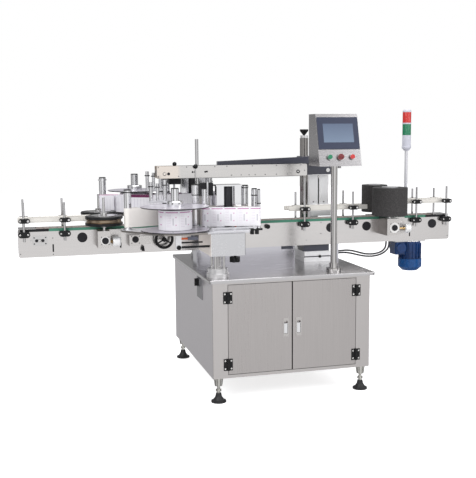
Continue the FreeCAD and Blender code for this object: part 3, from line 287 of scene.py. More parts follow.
def turned_rings(starts, axes, reach, height):
    """Closed turned shapes, one on each start: ring r at height[r] along the axis with radius
    reach[r], each ring being place + radius * (cos a * side + sin a * up). Quads join the
    neighbouring rings and a flat cap closes both ends."""
    sides = 16
    lean = np.where(np.abs(axes[:, 2:3]) < 0.9, (0.0, 0.0, 1.0), (1.0, 0.0, 0.0))
    side = np.cross(lean, axes)
    side = side / np.linalg.norm(side, axis=1)[:, None]
    up = np.cross(axes, side)
    angle = np.linspace(0.0, 2.0 * math.pi, sides, endpoint=False)
    ring = np.cos(angle)[None, :, None] * side[:, None] + np.sin(angle)[None, :, None] * up[:, None]
    heart = starts[:, None] + height[:, :, None] * axes[:, None]
    points = heart[:, :, None] + reach[None, :, None, None] * ring[:, None]
    rows = len(reach)
    row, column = np.meshgrid(np.arange(rows - 1), np.arange(sides), indexing="ij")
    first, second = row * sides + column, row * sides + (column + 1) % sides
    quads = np.stack((first, second, second + sides, first + sides), axis=-1).reshape(-1, 4)
    caps = np.stack((np.arange(sides)[::-1], (rows - 1) * sides + np.arange(sides)))
    step = (np.arange(len(starts)) * rows * sides)[:, None, None]
    faces = (quads[None] + step).reshape(-1, 4).tolist()
    faces += (caps[None] + step).reshape(-1, sides).tolist()
    return points.reshape(-1, 3), faces


def round_heads(name, spots, radius, proud, facing, material, body):
    """Low round heads in one mesh: rim, shoulder, crown and a sunk flat socket."""
    reach = np.array((1.0, 1.0, 0.86, 0.55, 0.45)) * radius
    rise = np.array((0.0, 0.55, 0.9, 1.0, 0.5)) * proud
    starts = np.array(spots, float)
    axes = np.tile(np.array(facing, float), (len(starts), 1))
    points, faces = turned_rings(starts, axes, reach, np.tile(rise, (len(starts), 1)))
    return place_mesh(name, points, faces, material, body)


def rods(name, ends, radius, material, body):
    """Straight round bars in one mesh, from one end to the other."""
    ends = np.array(ends, float)
    run = ends[:, 1] - ends[:, 0]
    length = np.linalg.norm(run, axis=1)[:, None]
    height = np.concatenate((length * 0.0, length), axis=1)
    points, faces = turned_rings(ends[:, 0], run / length, np.array((radius, radius)), height)
    return place_mesh(name, points, faces, material, body)


def slabs(name, boxes, material, body):
    """Plain boxes in one mesh: each is a row of x0, x1, y0, y1, z0, z1, and its eight
    corners take the low or high value of each axis."""
    boxes = np.array(boxes, float)
    pick = np.array([[a, b, c] for a in (0, 1) for b in (0, 1) for c in (0, 1)])
    points = np.stack([boxes[:, axis * 2 + pick[:, axis]] for axis in range(3)], axis=-1)
    sides = np.array(((0, 1, 3, 2), (4, 6, 7, 5), (0, 4, 5, 1),
                      (2, 3, 7, 6), (0, 2, 6, 4), (1, 5, 7, 3)))
    faces = (sides[None] + (np.arange(len(boxes)) * 8)[:, None, None]).reshape(-1, 4)
    return place_mesh(name, points.reshape(-1, 3), faces.tolist(), material, body)


# Motor and drive cables: black sheathed leads that hang from the conveyor's
# underside beside the gear motor and run into the leg on the table.
cable_sheath = surface("cable_sheath", (0.022, 0.022, 0.025), 0.45, grain=(90, 90, 90), tint=0.2)
cable_runs = (
    ("motor_lead", "motor_cable", 0.356,
     ((0.862, -0.045, 0.755), (0.862, -0.045, 0.725), (0.844, -0.045, 0.700), (0.812, -0.044, 0.686),
      (0.770, -0.042, 0.681), (0.728, -0.039, 0.684), (0.688, -0.035, 0.695), (0.650, -0.030, 0.706),
      (0.612, -0.024, 0.710), (0.583, -0.020, 0.707), (0.555, -0.020, 0.707))),
    ("drive_lead", "drive_cable", 0.385,
     ((0.882, -0.045, 0.755), (0.882, -0.045, 0.722), (0.862, -0.042, 0.694), (0.826, -0.038, 0.674),
      (0.778, -0.034, 0.666), (0.728, -0.030, 0.669), (0.688, -0.025, 0.678), (0.650, -0.016, 0.688),
      (0.616, -0.006, 0.693), (0.583, 0.002, 0.692), (0.555, 0.002, 0.692))))
cable_thick = 0.010
for name, node, length, points in cable_runs:
    curve = bpy.data.curves.new(name, "CURVE")
    curve.dimensions = "3D"
    curve.bevel_depth = cable_thick / 2
    curve.bevel_resolution = 4
    spline = curve.splines.new("NURBS")
    spline.points.add(len(points) - 1)
    for slot_point, place in zip(spline.points, points):
        slot_point.co = (*place, 1.0)
    spline.order_u = 3
    spline.use_endpoint_u = True
    spline.resolution_u = 8
    curve.materials.append(cable_sheath)
    lead = bpy.data.objects.new(name, curve)
    scene.collection.objects.link(lead)
    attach(lead, "machine")
    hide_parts(node)


# Cabinet: brushed stainless sheet, warm grey, with the grain running up
# the panels; the inside and the floor panel are the same sheet. Faces that
# look along x take a lighter, cooler copy of it: painted light on the sides.
cabinet_steel = surface("cabinet_steel", (0.575, 0.55, 0.545), 0.32, metallic=1.0,
                        grain=(260, 260, 5), tint=0.02, bump=0.01)
lit_side_steel = surface("lit_side_steel", (0.72, 0.695, 0.72), 0.34, metallic=1.0,
                     grain=(260, 260, 5), bump=0.012)
paint("cabinet_shell", [cabinet_steel, lit_side_steel],
      lambda c, n, z: (np.abs(n[:, 0]) > 0.9).astype(int))
door_steel = surface("door_steel", (0.49, 0.465, 0.46), 0.30, metallic=1.0,
                     grain=(260, 260, 4), tint=0.05, bump=0.01, cloud=2.2)
pull_frame = surface("pull_frame", (0.56, 0.54, 0.53), 0.26, metallic=1.0, grain=(60, 60, 60))
pull_chrome = surface("pull_chrome", (0.80, 0.80, 0.82), 0.14, metallic=1.0, grain=(60, 60, 60))
hinge_black = surface("hinge_black", (0.010, 0.010, 0.011), 0.42, grain=(150, 150, 150), bump=0.08,
                      shine=0.2)
for side in ("left", "right"):
    paint(side + "_door", [door_steel, hinge_black, pull_frame],
          lambda c, n, z: np.where((np.abs(c[:, 2] - 0.385) < 0.06) & (c[:, 1] < -0.4951), 2,
                                np.where(c[:, 1] < -0.4955, 1, 0)))
    paint(side + "_door_pull", [pull_chrome])


# Hinge leaves and the main switch: black cast hinges with a steel pin, and
# a pale switch plate with a black turning knob on the left side.
switch_plate = surface("switch_plate", (0.24, 0.24, 0.25), 0.4, metallic=0.6, grain=(80, 80, 80))
paint("cabinet_fittings", [hinge_black, switch_plate],
      lambda c, n, z: (c[:, 0] < -0.3249).astype(int))
paint("switch_knob", [hinge_black])


# Hinge screws: two pale countersunk heads in each leaf of the black hinges.
screw_pale = surface("screw_pale", (0.62, 0.61, 0.60), 0.25, metallic=0.9, grain=(200, 200, 200))
left_hinge, right_hinge = -0.243, 0.475
lower_hinge, upper_hinge = 0.206, 0.561
screw_rise, screw_out, leaf_face = 0.021, 0.0165, -0.499
for body, hinge_x, way in (("machine", left_hinge, -1), ("machine", right_hinge, 1),
                           ("left_door", left_hinge, 1), ("right_door", right_hinge, -1)):
    name = ("cabinet" if body == "machine" else body) + ("_left" if hinge_x < 0 else "_right")
    spots = [(hinge_x + way * screw_out, leaf_face, hinge + rise)
             for hinge in (lower_hinge, upper_hinge) for rise in (-screw_rise, screw_rise)]
    round_heads(name + "_hinge_screws", spots, 0.0048, 0.0008, (0, -1, 0), screw_pale, body)


# Feet: zinc plated stems with a nut, screwed up or down to level the
# machine, in black rubber bell pads.
zinc = surface("zinc", (0.62, 0.61, 0.58), 0.25, metallic=1.0, grain=(200, 200, 20), tint=0.12)
paint("foot_stems", [zinc])
pad_rubber = surface("pad_rubber", (0.022, 0.022, 0.023), 0.5, grain=(120, 120, 120), bump=0.1,
                     shine=0.35)
paint("foot_pads", [pad_rubber])


# Table top: one stainless sheet with its edges rolled down, mirror
# polished over a faint drawn grain.
table_steel = surface("table_steel", (0.56, 0.55, 0.56), 0.24, metallic=1.0,
                      grain=(4, 200, 200), vary=0.05, bump=0.008)
paint("table_top", [table_steel])


# Control gear behind the doors: a galvanised plate against the back wall
# with dark modules on its front.
gear_plate = surface("gear_plate", (0.55, 0.56, 0.55), 0.4, metallic=0.8, grain=(30, 30, 30))
module_grey = surface("module_grey", (0.10, 0.10, 0.11), 0.5, grain=(70, 70, 70))
paint("control_panel", [gear_plate, module_grey], lambda c, n, z: (c[:, 1] < 0.4841).astype(int))


# Conveyor: bright brushed side plates with the grain along the run, black
# plugs in them, a tan slat chain and green wear strips on their edges.
conveyor_steel = surface("conveyor_steel", (0.66, 0.64, 0.635), 0.22, metallic=1.0,
                         grain=(5, 240, 240), bump=0.015)
paint("conveyor_side_plates", [conveyor_steel])
tie_steel = surface("tie_steel", (0.62, 0.61, 0.61), 0.26, metallic=1.0, grain=(60, 60, 60),
                    vary=0.03, bump=0.002)
plug_slate = surface("plug_slate", (0.014, 0.014, 0.017), 0.4, grain=(110, 110, 110), bump=0.05,
                     shine=0.2)
paint("conveyor_ties", [tie_steel, plug_slate],
      lambda c, n, z: ((np.abs(c[:, 1]) > 0.0549) & (c[:, 0] > -1.1) & (c[:, 2] < 0.9)).astype(int))
chain_tan = surface("chain_tan", (0.30, 0.255, 0.235), 0.45, grain=(120, 30, 120), tint=0.12,
                    shine=0.3)
paint("slat_chain", [chain_tan])
strip_green = surface("strip_green", (0.055, 0.20, 0.135), 0.4, grain=(8, 150, 150), tint=0.08,
                      shine=0.35)
strip_black = surface("strip_black", (0.010, 0.010, 0.012), 0.45, grain=(8, 150, 150), shine=0.2)
paint("wear_strips", [strip_green, strip_black],
      lambda c, n, z: (np.abs(c[:, 0]) > 1.1135).astype(int))
for name in ("drive_sprocket", "idler_sprocket"):
    paint(name, [tie_steel])


# Small fixings on the side plates: screws and take-up holes of the slotted
# tension plates, and tapped holes, the holes drawn as dark discs that paint
# the shade inside them; and a dark sheet in each upright slot as painted shade.
screw_grey = surface("screw_grey", (0.17, 0.17, 0.175), 0.35, metallic=0.8, grain=(200, 200, 200))
side_face, tension_face = 0.055, 0.059
tension_x, tension_z = -1.162, 0.8445
shade_inner, shade_outer = 0.0532, 0.0538
for side, way in (("front", -1), ("rear", 1)):
    corners = [(tension_x + dx, way * tension_face, tension_z + dz) for dx in (-0.030, 0.030)
               for dz in (-0.0165, 0.0165)]
    facing = (0, way, 0)
    round_heads(side + "_tension_screws", corners, 0.0042, 0.0015, facing, screw_grey, "machine")
    round_heads(side + "_take_up_holes",
                [(x, way * tension_face, tension_z) for x in (-1.1795, -1.147)],
                0.0085, 0.0006, facing, plug_slate, "machine")
    round_heads(side + "_take_up_bolt", [(-1.163, way * tension_face, tension_z)], 0.0065, 0.002,
                facing, screw_pale, "machine")
    tapped = [(x, way * side_face, z) for x, z in (
        (-1.095, 0.856), (-1.0945, 0.768), (-1.265, 0.775), (1.265, 0.775), (0.440, 0.885),
        (0.440, 0.819), (0.350, 0.784))]
    round_heads(side + "_tapped_holes", tapped, 0.003, 0.0006, facing, screw_grey, "machine")
    # A dark sheet inside each upright slot: painted shade.
    near, far = sorted((way * shade_inner, way * shade_outer))
    slabs(side + "_slot_shade",
          [(x - 0.0036, x + 0.0036, near, far, 0.7806, 0.8224) for x in (-1.094, 1.011)],
          plug_slate, "machine")


# Pedestal, slide block and leg under the conveyor: polished sheet for the
# pedestal, machined aluminium for the grooved block; the saddle on the block
# and the faces of its groove are dark slate, painted shade of the gap under
# the conveyor and of the groove.
pedestal_steel = surface("pedestal_steel", (0.58, 0.575, 0.62), 0.17, metallic=1.0,
                         grain=(6, 6, 160), vary=0.04, bump=0.01)
block_aluminium = surface("block_aluminium", (0.78, 0.78, 0.79), 0.35, metallic=0.45,
                          grain=(160, 12, 160), bump=0.006)
dark_slate = surface("dark_slate", (0.035, 0.037, 0.055), 0.36, grain=(140, 140, 140),
                     bump=0.06, coat=0.2)
clamp_dark = surface("clamp_dark", (0.012, 0.012, 0.013), 0.4, grain=(150, 150, 150), shine=0.25)
paint("conveyor_pedestal", [pedestal_steel, block_aluminium, dark_slate],
      lambda c, n, z: np.where((c[:, 0] > 0.1) & (c[:, 0] < 0.27) & (c[:, 1] < -0.05001), 2,
                               np.where((c[:, 0] < 0.3) | (c[:, 0] > 0.54), 0,
                                        np.where((c[:, 2] > 0.7165)
                                                 | ((c[:, 1] < -0.0535) & (z[:, 0] > 0.6825)
                                                    & (z[:, 1] < 0.6895)), 2, 1))))
round_heads("slide_block_screw", [(0.432, -0.0601, 0.686)], 0.0085, 0.004, (0, -1, 0), clamp_dark,
            "machine")


# Gear motor: blue enamel over cast ribs, a lighter blue fan cover at its
# foot and a bright steel flange at its head.
motor_enamel = surface("motor_enamel", (0.005, 0.022, 0.085), 0.3, grain=(60, 60, 60), tint=0.15,
                       bump=0.06, coat=0.15, second=(0.006, 0.040, 0.15), shine=0.35)
motor_cover = surface("motor_cover", (0.004, 0.050, 0.18), 0.28, grain=(60, 60, 60), tint=0.1,
                      coat=0.15, second=(0.005, 0.072, 0.24), shine=0.35)
paint("gearmotor", [motor_enamel, motor_cover, tie_steel],
      lambda c, n, z: np.where(c[:, 2] > 0.7465, 2, np.where(c[:, 2] < 0.6402, 1, 0)))


# Guide rails: chromed posts and cross rods, black moulded clamps, and
# pale flat rails.
guide_chrome = surface("guide_chrome", (0.66, 0.655, 0.66), 0.11, metallic=1.0, grain=(90, 90, 20),
                       vary=0.03, bump=0.002)
paint("guide_posts", [guide_chrome])
clamp_black = surface("clamp_black", (0.009, 0.009, 0.010), 0.36, grain=(150, 150, 150), bump=0.08,
                      shine=0.22)
paint("guide_clamps", [clamp_black])
clamp_face = 0.086
for side, way, stations in (
        ("front", -1, ((-1.243, 0.953), (-1.031, 0.953), (0.331, 0.968), (0.632, 0.968),
                       (1.043, 0.990), (1.242, 0.990))),
        ("rear", 1, ((-1.243, 0.953), (-1.034, 0.953), (0.328, 0.968), (0.632, 0.968),
                     (1.092, 0.990), (1.239, 0.990)))):
    lower = [(x + dx, way * clamp_face, 0.880) for x, z in stations for dx in (-0.0205, 0.0205)]
    upper = [(x - 0.0185, way * clamp_face, z) for x, z in stations]
    round_heads(side + "_clamp_screws", lower + upper, 0.0048, 0.0012, (0, way, 0), screw_pale,
                "machine")
rail_pale = surface("rail_pale", (0.66, 0.64, 0.60), 0.4, metallic=0.2, grain=(6, 160, 160))
paint("guide_rails", [rail_pale])


# Drive boxes under the wheels and rollers: brushed housings with black
# round caps, and the knobs that set the bottle gap.
box_steel = surface("box_steel", (0.62, 0.60, 0.59), 0.26, metallic=1.0, grain=(120, 120, 120))
flange_bright = surface("flange_bright", (0.84, 0.83, 0.82), 0.3, metallic=0.6, grain=(90, 90, 90))
box_shade = surface("box_shade", (0.27, 0.25, 0.24), 0.34, metallic=1.0, grain=(120, 120, 120))
# Faces turned towards -x take a darker copy of the housing steel: painted shade on the boxes' left
# sides.
paint("drive_boxes", [box_steel, plug_slate, flange_bright, box_shade],
      lambda c, n, z: np.where(
          ((c[:, 0] < 0) & (np.abs(c[:, 1]) > 0.1682))
          | ((c[:, 0] > 0) & ((c[:, 1] < -0.1732) | (c[:, 1] > 0.1472)))
          | ((np.hypot(c[:, 0] + 0.659, c[:, 2] - 0.838) < 0.0182)
             & (c[:, 1] < -0.1182) & (c[:, 1] > -0.123)), 1,
          np.where(((c[:, 0] < 0) & (np.abs(c[:, 1]) > 0.1651))
                   | ((c[:, 0] > 0) & ((c[:, 1] < -0.1701) | (c[:, 1] > 0.1441))), 2,
                   np.where(n[:, 0] < -0.7, 3, 0))))
for side, way in (("front", -1), ("rear", 1)):
    press_face = 0.170 if side == "front" else 0.144
    spots = [(x + dx, way * face, z + dz) for x, z, face, reach in
             ((-0.827, 0.843, 0.165, 0.0195), (0.8545, 0.850, press_face, 0.0235))
             for dx in (-reach, reach) for dz in (-reach, reach)]
    if side == "front":
        spots += [(-0.659 + dx, -0.118, 0.838 + dz) for dx in (-0.0205, 0.0205)
                  for dz in (-0.0205, 0.0165)]
    round_heads(side + "_box_screws", spots, 0.0032, 0.001, (0, way, 0), screw_grey, "machine")
knob_white = surface("knob_white", (0.84, 0.84, 0.84), 0.3, metallic=0.35, grain=(60, 60, 60))
shaft_brass = surface("shaft_brass", (0.55, 0.38, 0.18), 0.25, metallic=1.0, grain=(60, 60, 60))
paint("separator_knob", [knob_white, shaft_brass],
      lambda c, n, z: (c[:, 0] < -0.7861).astype(int))
paint("press_knob", [knob_white, shaft_brass],
      lambda c, n, z: (c[:, 0] < 0.9309).astype(int))
paint("handwheel", [clamp_black, guide_chrome],
      lambda c, n, z: ((np.hypot(c[:, 0] + 0.499, c[:, 2] - 0.830) < 0.0135)
                       & (c[:, 1] > -0.0969)).astype(int))


# Bottle wheels: black tyre rims with a bronze groove between them, a
# polished disc on top and a chrome spindle.
wheel_black = surface("wheel_black", (0.010, 0.010, 0.011), 0.32, grain=(80, 80, 80), bump=0.03,
                      shine=0.22)
wheel_bronze = surface("wheel_bronze", (0.30, 0.235, 0.17), 0.3, metallic=1.0, grain=(60, 60, 300))
for side, y in (("front", -0.135), ("rear", 0.135)):
    paint(side + "_separator_wheel", [wheel_black, wheel_bronze, guide_chrome],
          lambda c, n, z, y=y: np.where(
              np.hypot(c[:, 0] + 0.828, c[:, 1] - y) < 0.0702, 2,
              np.where((c[:, 2] > 0.9402) & (c[:, 2] < 0.9598), 1, 0)))


# Press rollers: dark open foam on a chrome spindle, with a pale disc on
# top that keeps the foam down.
foam, tree, shader = new_material("press_foam")
place = tree.nodes.new("ShaderNodeTexCoord")
pores = tree.nodes.new("ShaderNodeTexVoronoi")
pores.inputs["Scale"].default_value = 160.0
tree.links.new(place.outputs["Object"], pores.inputs["Vector"])
shade = tree.nodes.new("ShaderNodeValToRGB")
shade.color_ramp.elements[0].color = (0.020, 0.019, 0.019, 1)
shade.color_ramp.elements[1].color = (0.055, 0.052, 0.052, 1)
tree.links.new(pores.outputs["Distance"], shade.inputs["Fac"])
tree.links.new(shade.outputs["Color"], shader.inputs["Base Color"])
lift = tree.nodes.new("ShaderNodeBump")
lift.inputs["Strength"].default_value = 0.6
lift.inputs["Distance"].default_value = 0.002
tree.links.new(pores.outputs["Distance"], lift.inputs["Height"])
tree.links.new(lift.outputs[0], shader.inputs["Normal"])
shader.inputs["Roughness"].default_value = 0.9
disc_pale = surface("disc_pale", (0.45, 0.45, 0.46), 0.4, metallic=0.5, grain=(60, 60, 60))
for side, x, y, radius in (("front", 0.836, -0.140, 0.103), ("rear", 0.855, 0.114, 0.078)):
    paint(side + "_press_roller", [foam, disc_pale, guide_chrome],
          lambda c, n, z, x=x, y=y, r=radius: np.where(
              c[:, 2] < 0.9221, np.where(np.hypot(c[:, 0] - x, c[:, 1] - y) < r * 0.43, 2, 0),
              np.where(c[:, 2] > 1.0852, 1, 0)))


# Operator panel: brushed post and case, slate bezel, blue-grey screen,
# and three buttons in chrome rings.
post_steel = surface("post_steel", (0.58, 0.565, 0.56), 0.13, metallic=1.0, grain=(200, 200, 6),
                     vary=0.03, bump=0.003)
paint("hmi_post", [post_steel])
case_steel = surface("case_steel", (0.40, 0.39, 0.40), 0.26, metallic=1.0, grain=(4, 200, 200),
                     tint=0.02, bump=0.004)
panel_lean = math.atan2(0.070, 0.274)
case_left, case_right, case_low, case_high = 0.259, 0.497, 1.230, 1.504


def off_panel(points):
    """Each point's distance in front of the leaning face of the case."""
    return (-(points[:, 1] + 0.5) * math.cos(panel_lean)
            + (points[:, 2] - case_low) * math.sin(panel_lean))


# Button rings: chrome on their front faces, dark slate on their sides as painted shade.
paint("hmi_case", [case_steel, guide_chrome, plug_slate],
      lambda c, n, z: np.where((off_panel(c) > 0.0004) & (c[:, 2] < 1.31),
                               np.where(n[:, 1] < -0.8, 1, 2), 0))
bezel_slate = surface("bezel_slate", (0.034, 0.041, 0.072), 0.4, grain=(150, 150, 150), bump=0.05,
                      shine=0.3)
screen_glass, tree, shader = new_material("screen_glass")
place = tree.nodes.new("ShaderNodeTexCoord")
split = tree.nodes.new("ShaderNodeSeparateXYZ")
tree.links.new(place.outputs["Object"], split.inputs[0])
rise = tree.nodes.new("ShaderNodeMapRange")
rise.inputs["From Min"].default_value = 1.35
rise.inputs["From Max"].default_value = 1.45
tree.links.new(split.outputs["Z"], rise.inputs["Value"])
shade = tree.nodes.new("ShaderNodeValToRGB")
shade.color_ramp.elements[0].color = (0.155, 0.205, 0.285, 1)
shade.color_ramp.elements[1].color = (0.095, 0.125, 0.19, 1)
tree.links.new(rise.outputs[0], shade.inputs["Fac"])
tree.links.new(shade.outputs["Color"], shader.inputs["Base Color"])
shader.inputs["Roughness"].default_value = 0.15
paint("touch_screen", [bezel_slate, screen_glass],
      lambda c, n, z: (off_panel(c) > 0.00605).astype(int))
for name, color in (("start_button", (0.0, 0.16, 0.07)), ("stop_button", (0.45, 0.012, 0.01)),
                    ("mode_knob", (0.16, 0.008, 0.012))):
    paint(name, [surface(name + "_cap", color, 0.25, grain=(90, 90, 90), coat=0.4)])


# Signal tower: white body and ring, green and red ribbed lenses, white
# cap, on a grey pole.
tower_white = surface("tower_white", (0.50, 0.505, 0.57), 0.4, grain=(60, 60, 60), tint=0.03)
pole_grey = surface("pole_grey", (0.62, 0.62, 0.65), 0.3, metallic=0.25, grain=(100, 100, 10))


def lens_material(name, color, deep):
    """Ribbed lens plastic: a fine wave round the axis and up it, in two shades."""
    material, tree, shader = new_material(name)
    place = tree.nodes.new("ShaderNodeTexCoord")
    wave = tree.nodes.new("ShaderNodeTexWave")
    wave.bands_direction = "Z"
    wave.inputs["Scale"].default_value = 60.0
    tree.links.new(place.outputs["Object"], wave.inputs["Vector"])
    shade = tree.nodes.new("ShaderNodeValToRGB")
    shade.color_ramp.elements[0].color = (*deep, 1)
    shade.color_ramp.elements[1].color = (*color, 1)
    tree.links.new(wave.outputs["Fac"], shade.inputs["Fac"])
    tree.links.new(shade.outputs["Color"], shader.inputs["Base Color"])
    lift = tree.nodes.new("ShaderNodeBump")
    lift.inputs["Strength"].default_value = 0.3
    lift.inputs["Distance"].default_value = 0.001
    tree.links.new(wave.outputs["Fac"], lift.inputs["Height"])
    tree.links.new(lift.outputs[0], shader.inputs["Normal"])
    shader.inputs["Roughness"].default_value = 0.2
    shader.inputs["Coat Weight"].default_value = 0.6
    return material


lens_red = lens_material("lens_red", (0.60, 0.022, 0.016), (0.40, 0.010, 0.010))
lens_green = lens_material("lens_green", (0.0, 0.20, 0.09), (0.0, 0.12, 0.05))
paint("signal_tower", [tower_white, lens_green, lens_red, pole_grey],
      lambda c, n, z: np.where(
          c[:, 2] < 1.292, 3,
          np.where((c[:, 2] > 1.3865) & (c[:, 2] < 1.4525), 1,
                   np.where((c[:, 2] > 1.4615) & (c[:, 2] < 1.5245), 2, 0))))


# Columns: bright aluminium flanges with chromed rods, the chrome column of
# the hold-down unit, and its slotted aluminium guide plates.
flange_white = surface("flange_white", (0.60, 0.595, 0.60), 0.3, metallic=0.6, grain=(90, 90, 90),
                       vary=0.03, bump=0.002)
column_chrome = surface("column_chrome", (0.36, 0.345, 0.335), 0.09, metallic=1.0, grain=(90, 90, 10),
                        vary=0.02, bump=0.002)
rod_chrome = surface("rod_chrome", (0.62, 0.61, 0.61), 0.06, metallic=1.0, grain=(90, 90, 10),
                     vary=0.02, bump=0.002)
paint("support_columns", [column_chrome, flange_white, block_aluminium, rod_chrome],
      lambda c, n, z: np.where(c[:, 0] > 0.4495, 2,
                               np.where(c[:, 0] > 0, 0, np.where(c[:, 2] < 0.7025, 1, 3))))


# Fixings of the guide plates: the black scale rod in the gap between them,
# its pale screw on top, and a screw in the foot of each plate.
slabs("gap_rod", [(0.5095, 0.5145, 0.1775, 0.1865, 0.9745, 1.1495)], plug_slate, "machine")
round_heads("gap_screw", [(0.512, 0.1762, 1.139)], 0.0068, 0.002, (0, -1, 0), screw_pale, "machine")
round_heads("guide_plate_screws", [(0.479, 0.176, 0.986), (0.546, 0.176, 0.986)], 0.0045, 0.001,
            (0, -1, 0), screw_grey, "machine")


# Hold-down unit: dark cast arm, stainless beam with a warm tint, pale
# belt, and black ball knobs on the upright rod.
paint("lift_arm", [dark_slate, guide_chrome],
      lambda c, n, z: ((np.hypot(c[:, 0] - 0.553, c[:, 2] - 1.181) < 0.0125)
                       & (c[:, 1] < 0.1301)).astype(int))
paint("lift_knob", [clamp_black, flange_white], lambda c, n, z: (c[:, 2] < 1.3901).astype(int))
beam_steel = surface("beam_steel", (0.655, 0.64, 0.63), 0.2, metallic=1.0, grain=(5, 200, 200),
                     vary=0.04, bump=0.004)
warm_tone = (0.80, 0.73, 0.67)
beam_warm = surface("beam_warm", warm_tone, 0.25, metallic=0.9, grain=(5, 200, 200))
tree = beam_steel.node_tree
place = tree.nodes.new("ShaderNodeTexCoord")
split = tree.nodes.new("ShaderNodeSeparateXYZ")
tree.links.new(place.outputs["Object"], split.inputs[0])
shader = tree.nodes["Principled BSDF"]
steel_tone = shader.inputs["Base Color"].links[0].from_socket
warm_end = spread_range(tree, split.outputs["X"], -0.405, -0.385, 1.0, 0.0)
tree.links.new(blend_color(tree, warm_end, steel_tone, warm_tone), shader.inputs["Base Color"])
paint("hold_down_beam", [beam_steel, clamp_black, guide_chrome],
      lambda c, n, z: np.where(
          (np.linalg.norm(c - np.array([-0.303, -0.044, 1.224]), axis=1) < 0.0133)
          | (np.linalg.norm(c - np.array([-0.419, -0.029, 1.239]), axis=1) < 0.0123), 1,
          np.where((c[:, 2] > 1.2282) | (c[:, 1] < -0.0353), 2, 0)))
beam_face, latch_z, facing = -0.035, 1.185, (0, -1, 0)
top_row = [(x, 1.2215) for x in (-0.512, -0.352, -0.190, -0.120, 0.029, 0.174, 0.322)]
low_row = [(x, 1.171) for x in (-0.512, -0.398, -0.093, -0.037, 0.010, 0.046, 0.106, 0.174, 0.238)]
round_heads("beam_screws", [(x, beam_face, z) for x, z in top_row + low_row + [(0.345, 1.190)]],
            0.0032, 0.0008, facing, screw_grey, "hold_down")
# Holes in the beam face, drawn as dark discs: painted shade inside the holes.
hole_row = ((-0.318, 1.193), (-0.304, 1.193), (-0.246, 1.193), (-0.236, 1.194))
round_heads("beam_holes", [(x, beam_face, z) for x, z in hole_row], 0.0055, 0.0006, facing,
            plug_slate, "hold_down")
for name, spot, radius, proud, material, slot in (
        ("beam_latch", (-0.4545, beam_face, latch_z), 0.0085, 0.0012, plug_slate, "black_plastic"),
        ("beam_latch_ring", (-0.477, beam_face, latch_z), 0.0105, 0.0012, screw_grey,
         "polished_steel"),
        ("beam_latch_plate", (-0.477, -0.0356, latch_z), 0.0075, 0.001, beam_warm,
         "polished_steel"),
        ("beam_end_ring", (0.304, -0.039, 1.184), 0.0109, 0.0006, plug_slate, "black_plastic"),
        ("beam_end_pin", (0.304, -0.0391, 1.184), 0.0055, 0.001, screw_pale, "polished_steel")):
    round_heads(name, [spot], radius, proud, facing, material, "hold_down")
belt_pale = surface("belt_pale", (0.16, 0.16, 0.16), 0.6, grain=(100, 100, 100))
paint("hold_down_belt", [belt_pale])


# Label heads, front and rear: machined deck and block, steel rollers with
# black collars, smoked reel discs with a dark rim, and the label web.
deck_aluminium = surface("deck_aluminium", (0.62, 0.62, 0.645), 0.34, metallic=0.45,
                         grain=(8, 160, 160))
head_block = surface("head_block", (0.60, 0.60, 0.62), 0.26, metallic=0.85, grain=(160, 10, 160),
                     tint=0.02, vary=0.03, bump=0.002)
roller_bright = surface("roller_bright", (0.80, 0.80, 0.82), 0.14, metallic=1.0,
                        grain=(120, 120, 20), bump=0.005)
ring_black = surface("ring_black", (0.008, 0.008, 0.009), 0.4, grain=(90, 90, 90), shine=0.2)
coder_black = surface("coder_black", (0.012, 0.012, 0.014), 0.45, grain=(120, 120, 120), bump=0.06,
                      shine=0.25)
disc_smoke = surface("disc_smoke", (0.44, 0.42, 0.47), 0.3, grain=(20, 20, 20), tint=0.05, bump=0.0,
                     coat=0.15)
disc_rim = surface("disc_rim", (0.010, 0.009, 0.012), 0.3, grain=(90, 90, 90), shine=0.25)
roller_rubber = surface("roller_rubber", (0.022, 0.022, 0.026), 0.6, grain=(120, 120, 60), bump=0.1,
                        shine=0.3)
liner_front = surface("liner_front", (0.84, 0.81, 0.77), 0.35, grain=(20, 20, 20))
liner_rear = surface("liner_rear", (0.76, 0.75, 0.79), 0.35, grain=(20, 20, 20))
# Two copies of the head metal stand in for light: a darker one on the deck's upright edges under the
# reel disc, painted shade, and a lighter, warmer one on the faces of the lift block and its cover
# turned to -x, painted light.
shaded_deck_edge = surface("shaded_deck_edge", (0.30, 0.28, 0.265), 0.3, metallic=0.9, grain=(8, 160, 160))
lit_block_side = surface("lit_block_side", (0.86, 0.79, 0.74), 0.35, metallic=0.5, grain=(160, 160, 10))
sensor_orange = surface("sensor_orange", (0.55, 0.10, 0.025), 0.35, grain=(90, 90, 90))
sensor_slate = surface("sensor_slate", (0.10, 0.105, 0.14), 0.35, grain=(120, 120, 120), bump=0.05)
paper_white = surface("paper_white", (0.80, 0.79, 0.82), 0.4, grain=(20, 20, 300))
label_cell = 0.068
cover_thick = 0.0015
ring_bands = ((1.096, 1.101), (1.074, 1.079), (1.018, 1.023), (1.108, 1.113), (1.072, 1.077),
              (1.030, 1.0358), (1.128, 1.133))
cap_bands = ((1.109, 1.1141), (1.129, 1.1341), (1.110, 1.1151), (1.120, 1.1251), (1.107, 1.1121),
             (1.105, 1.1101), (1.160, 1.1651))


def inside_bands(reach, bands, rise):
    """True for the faces whose corners all lie within one of the height bands."""
    found = np.zeros(len(reach), bool)
    for low, high in bands:
        found |= (reach[:, 0] > low + rise - 1e-4) & (reach[:, 1] < high + rise + 1e-4)
    return found


def stretch_of(tree, value, start, end):
    """One where the value lies between start and end, else zero."""
    return math_node(tree, "MULTIPLY", math_node(tree, "GREATER_THAN", value, start),
                     math_node(tree, "LESS_THAN", value, end))


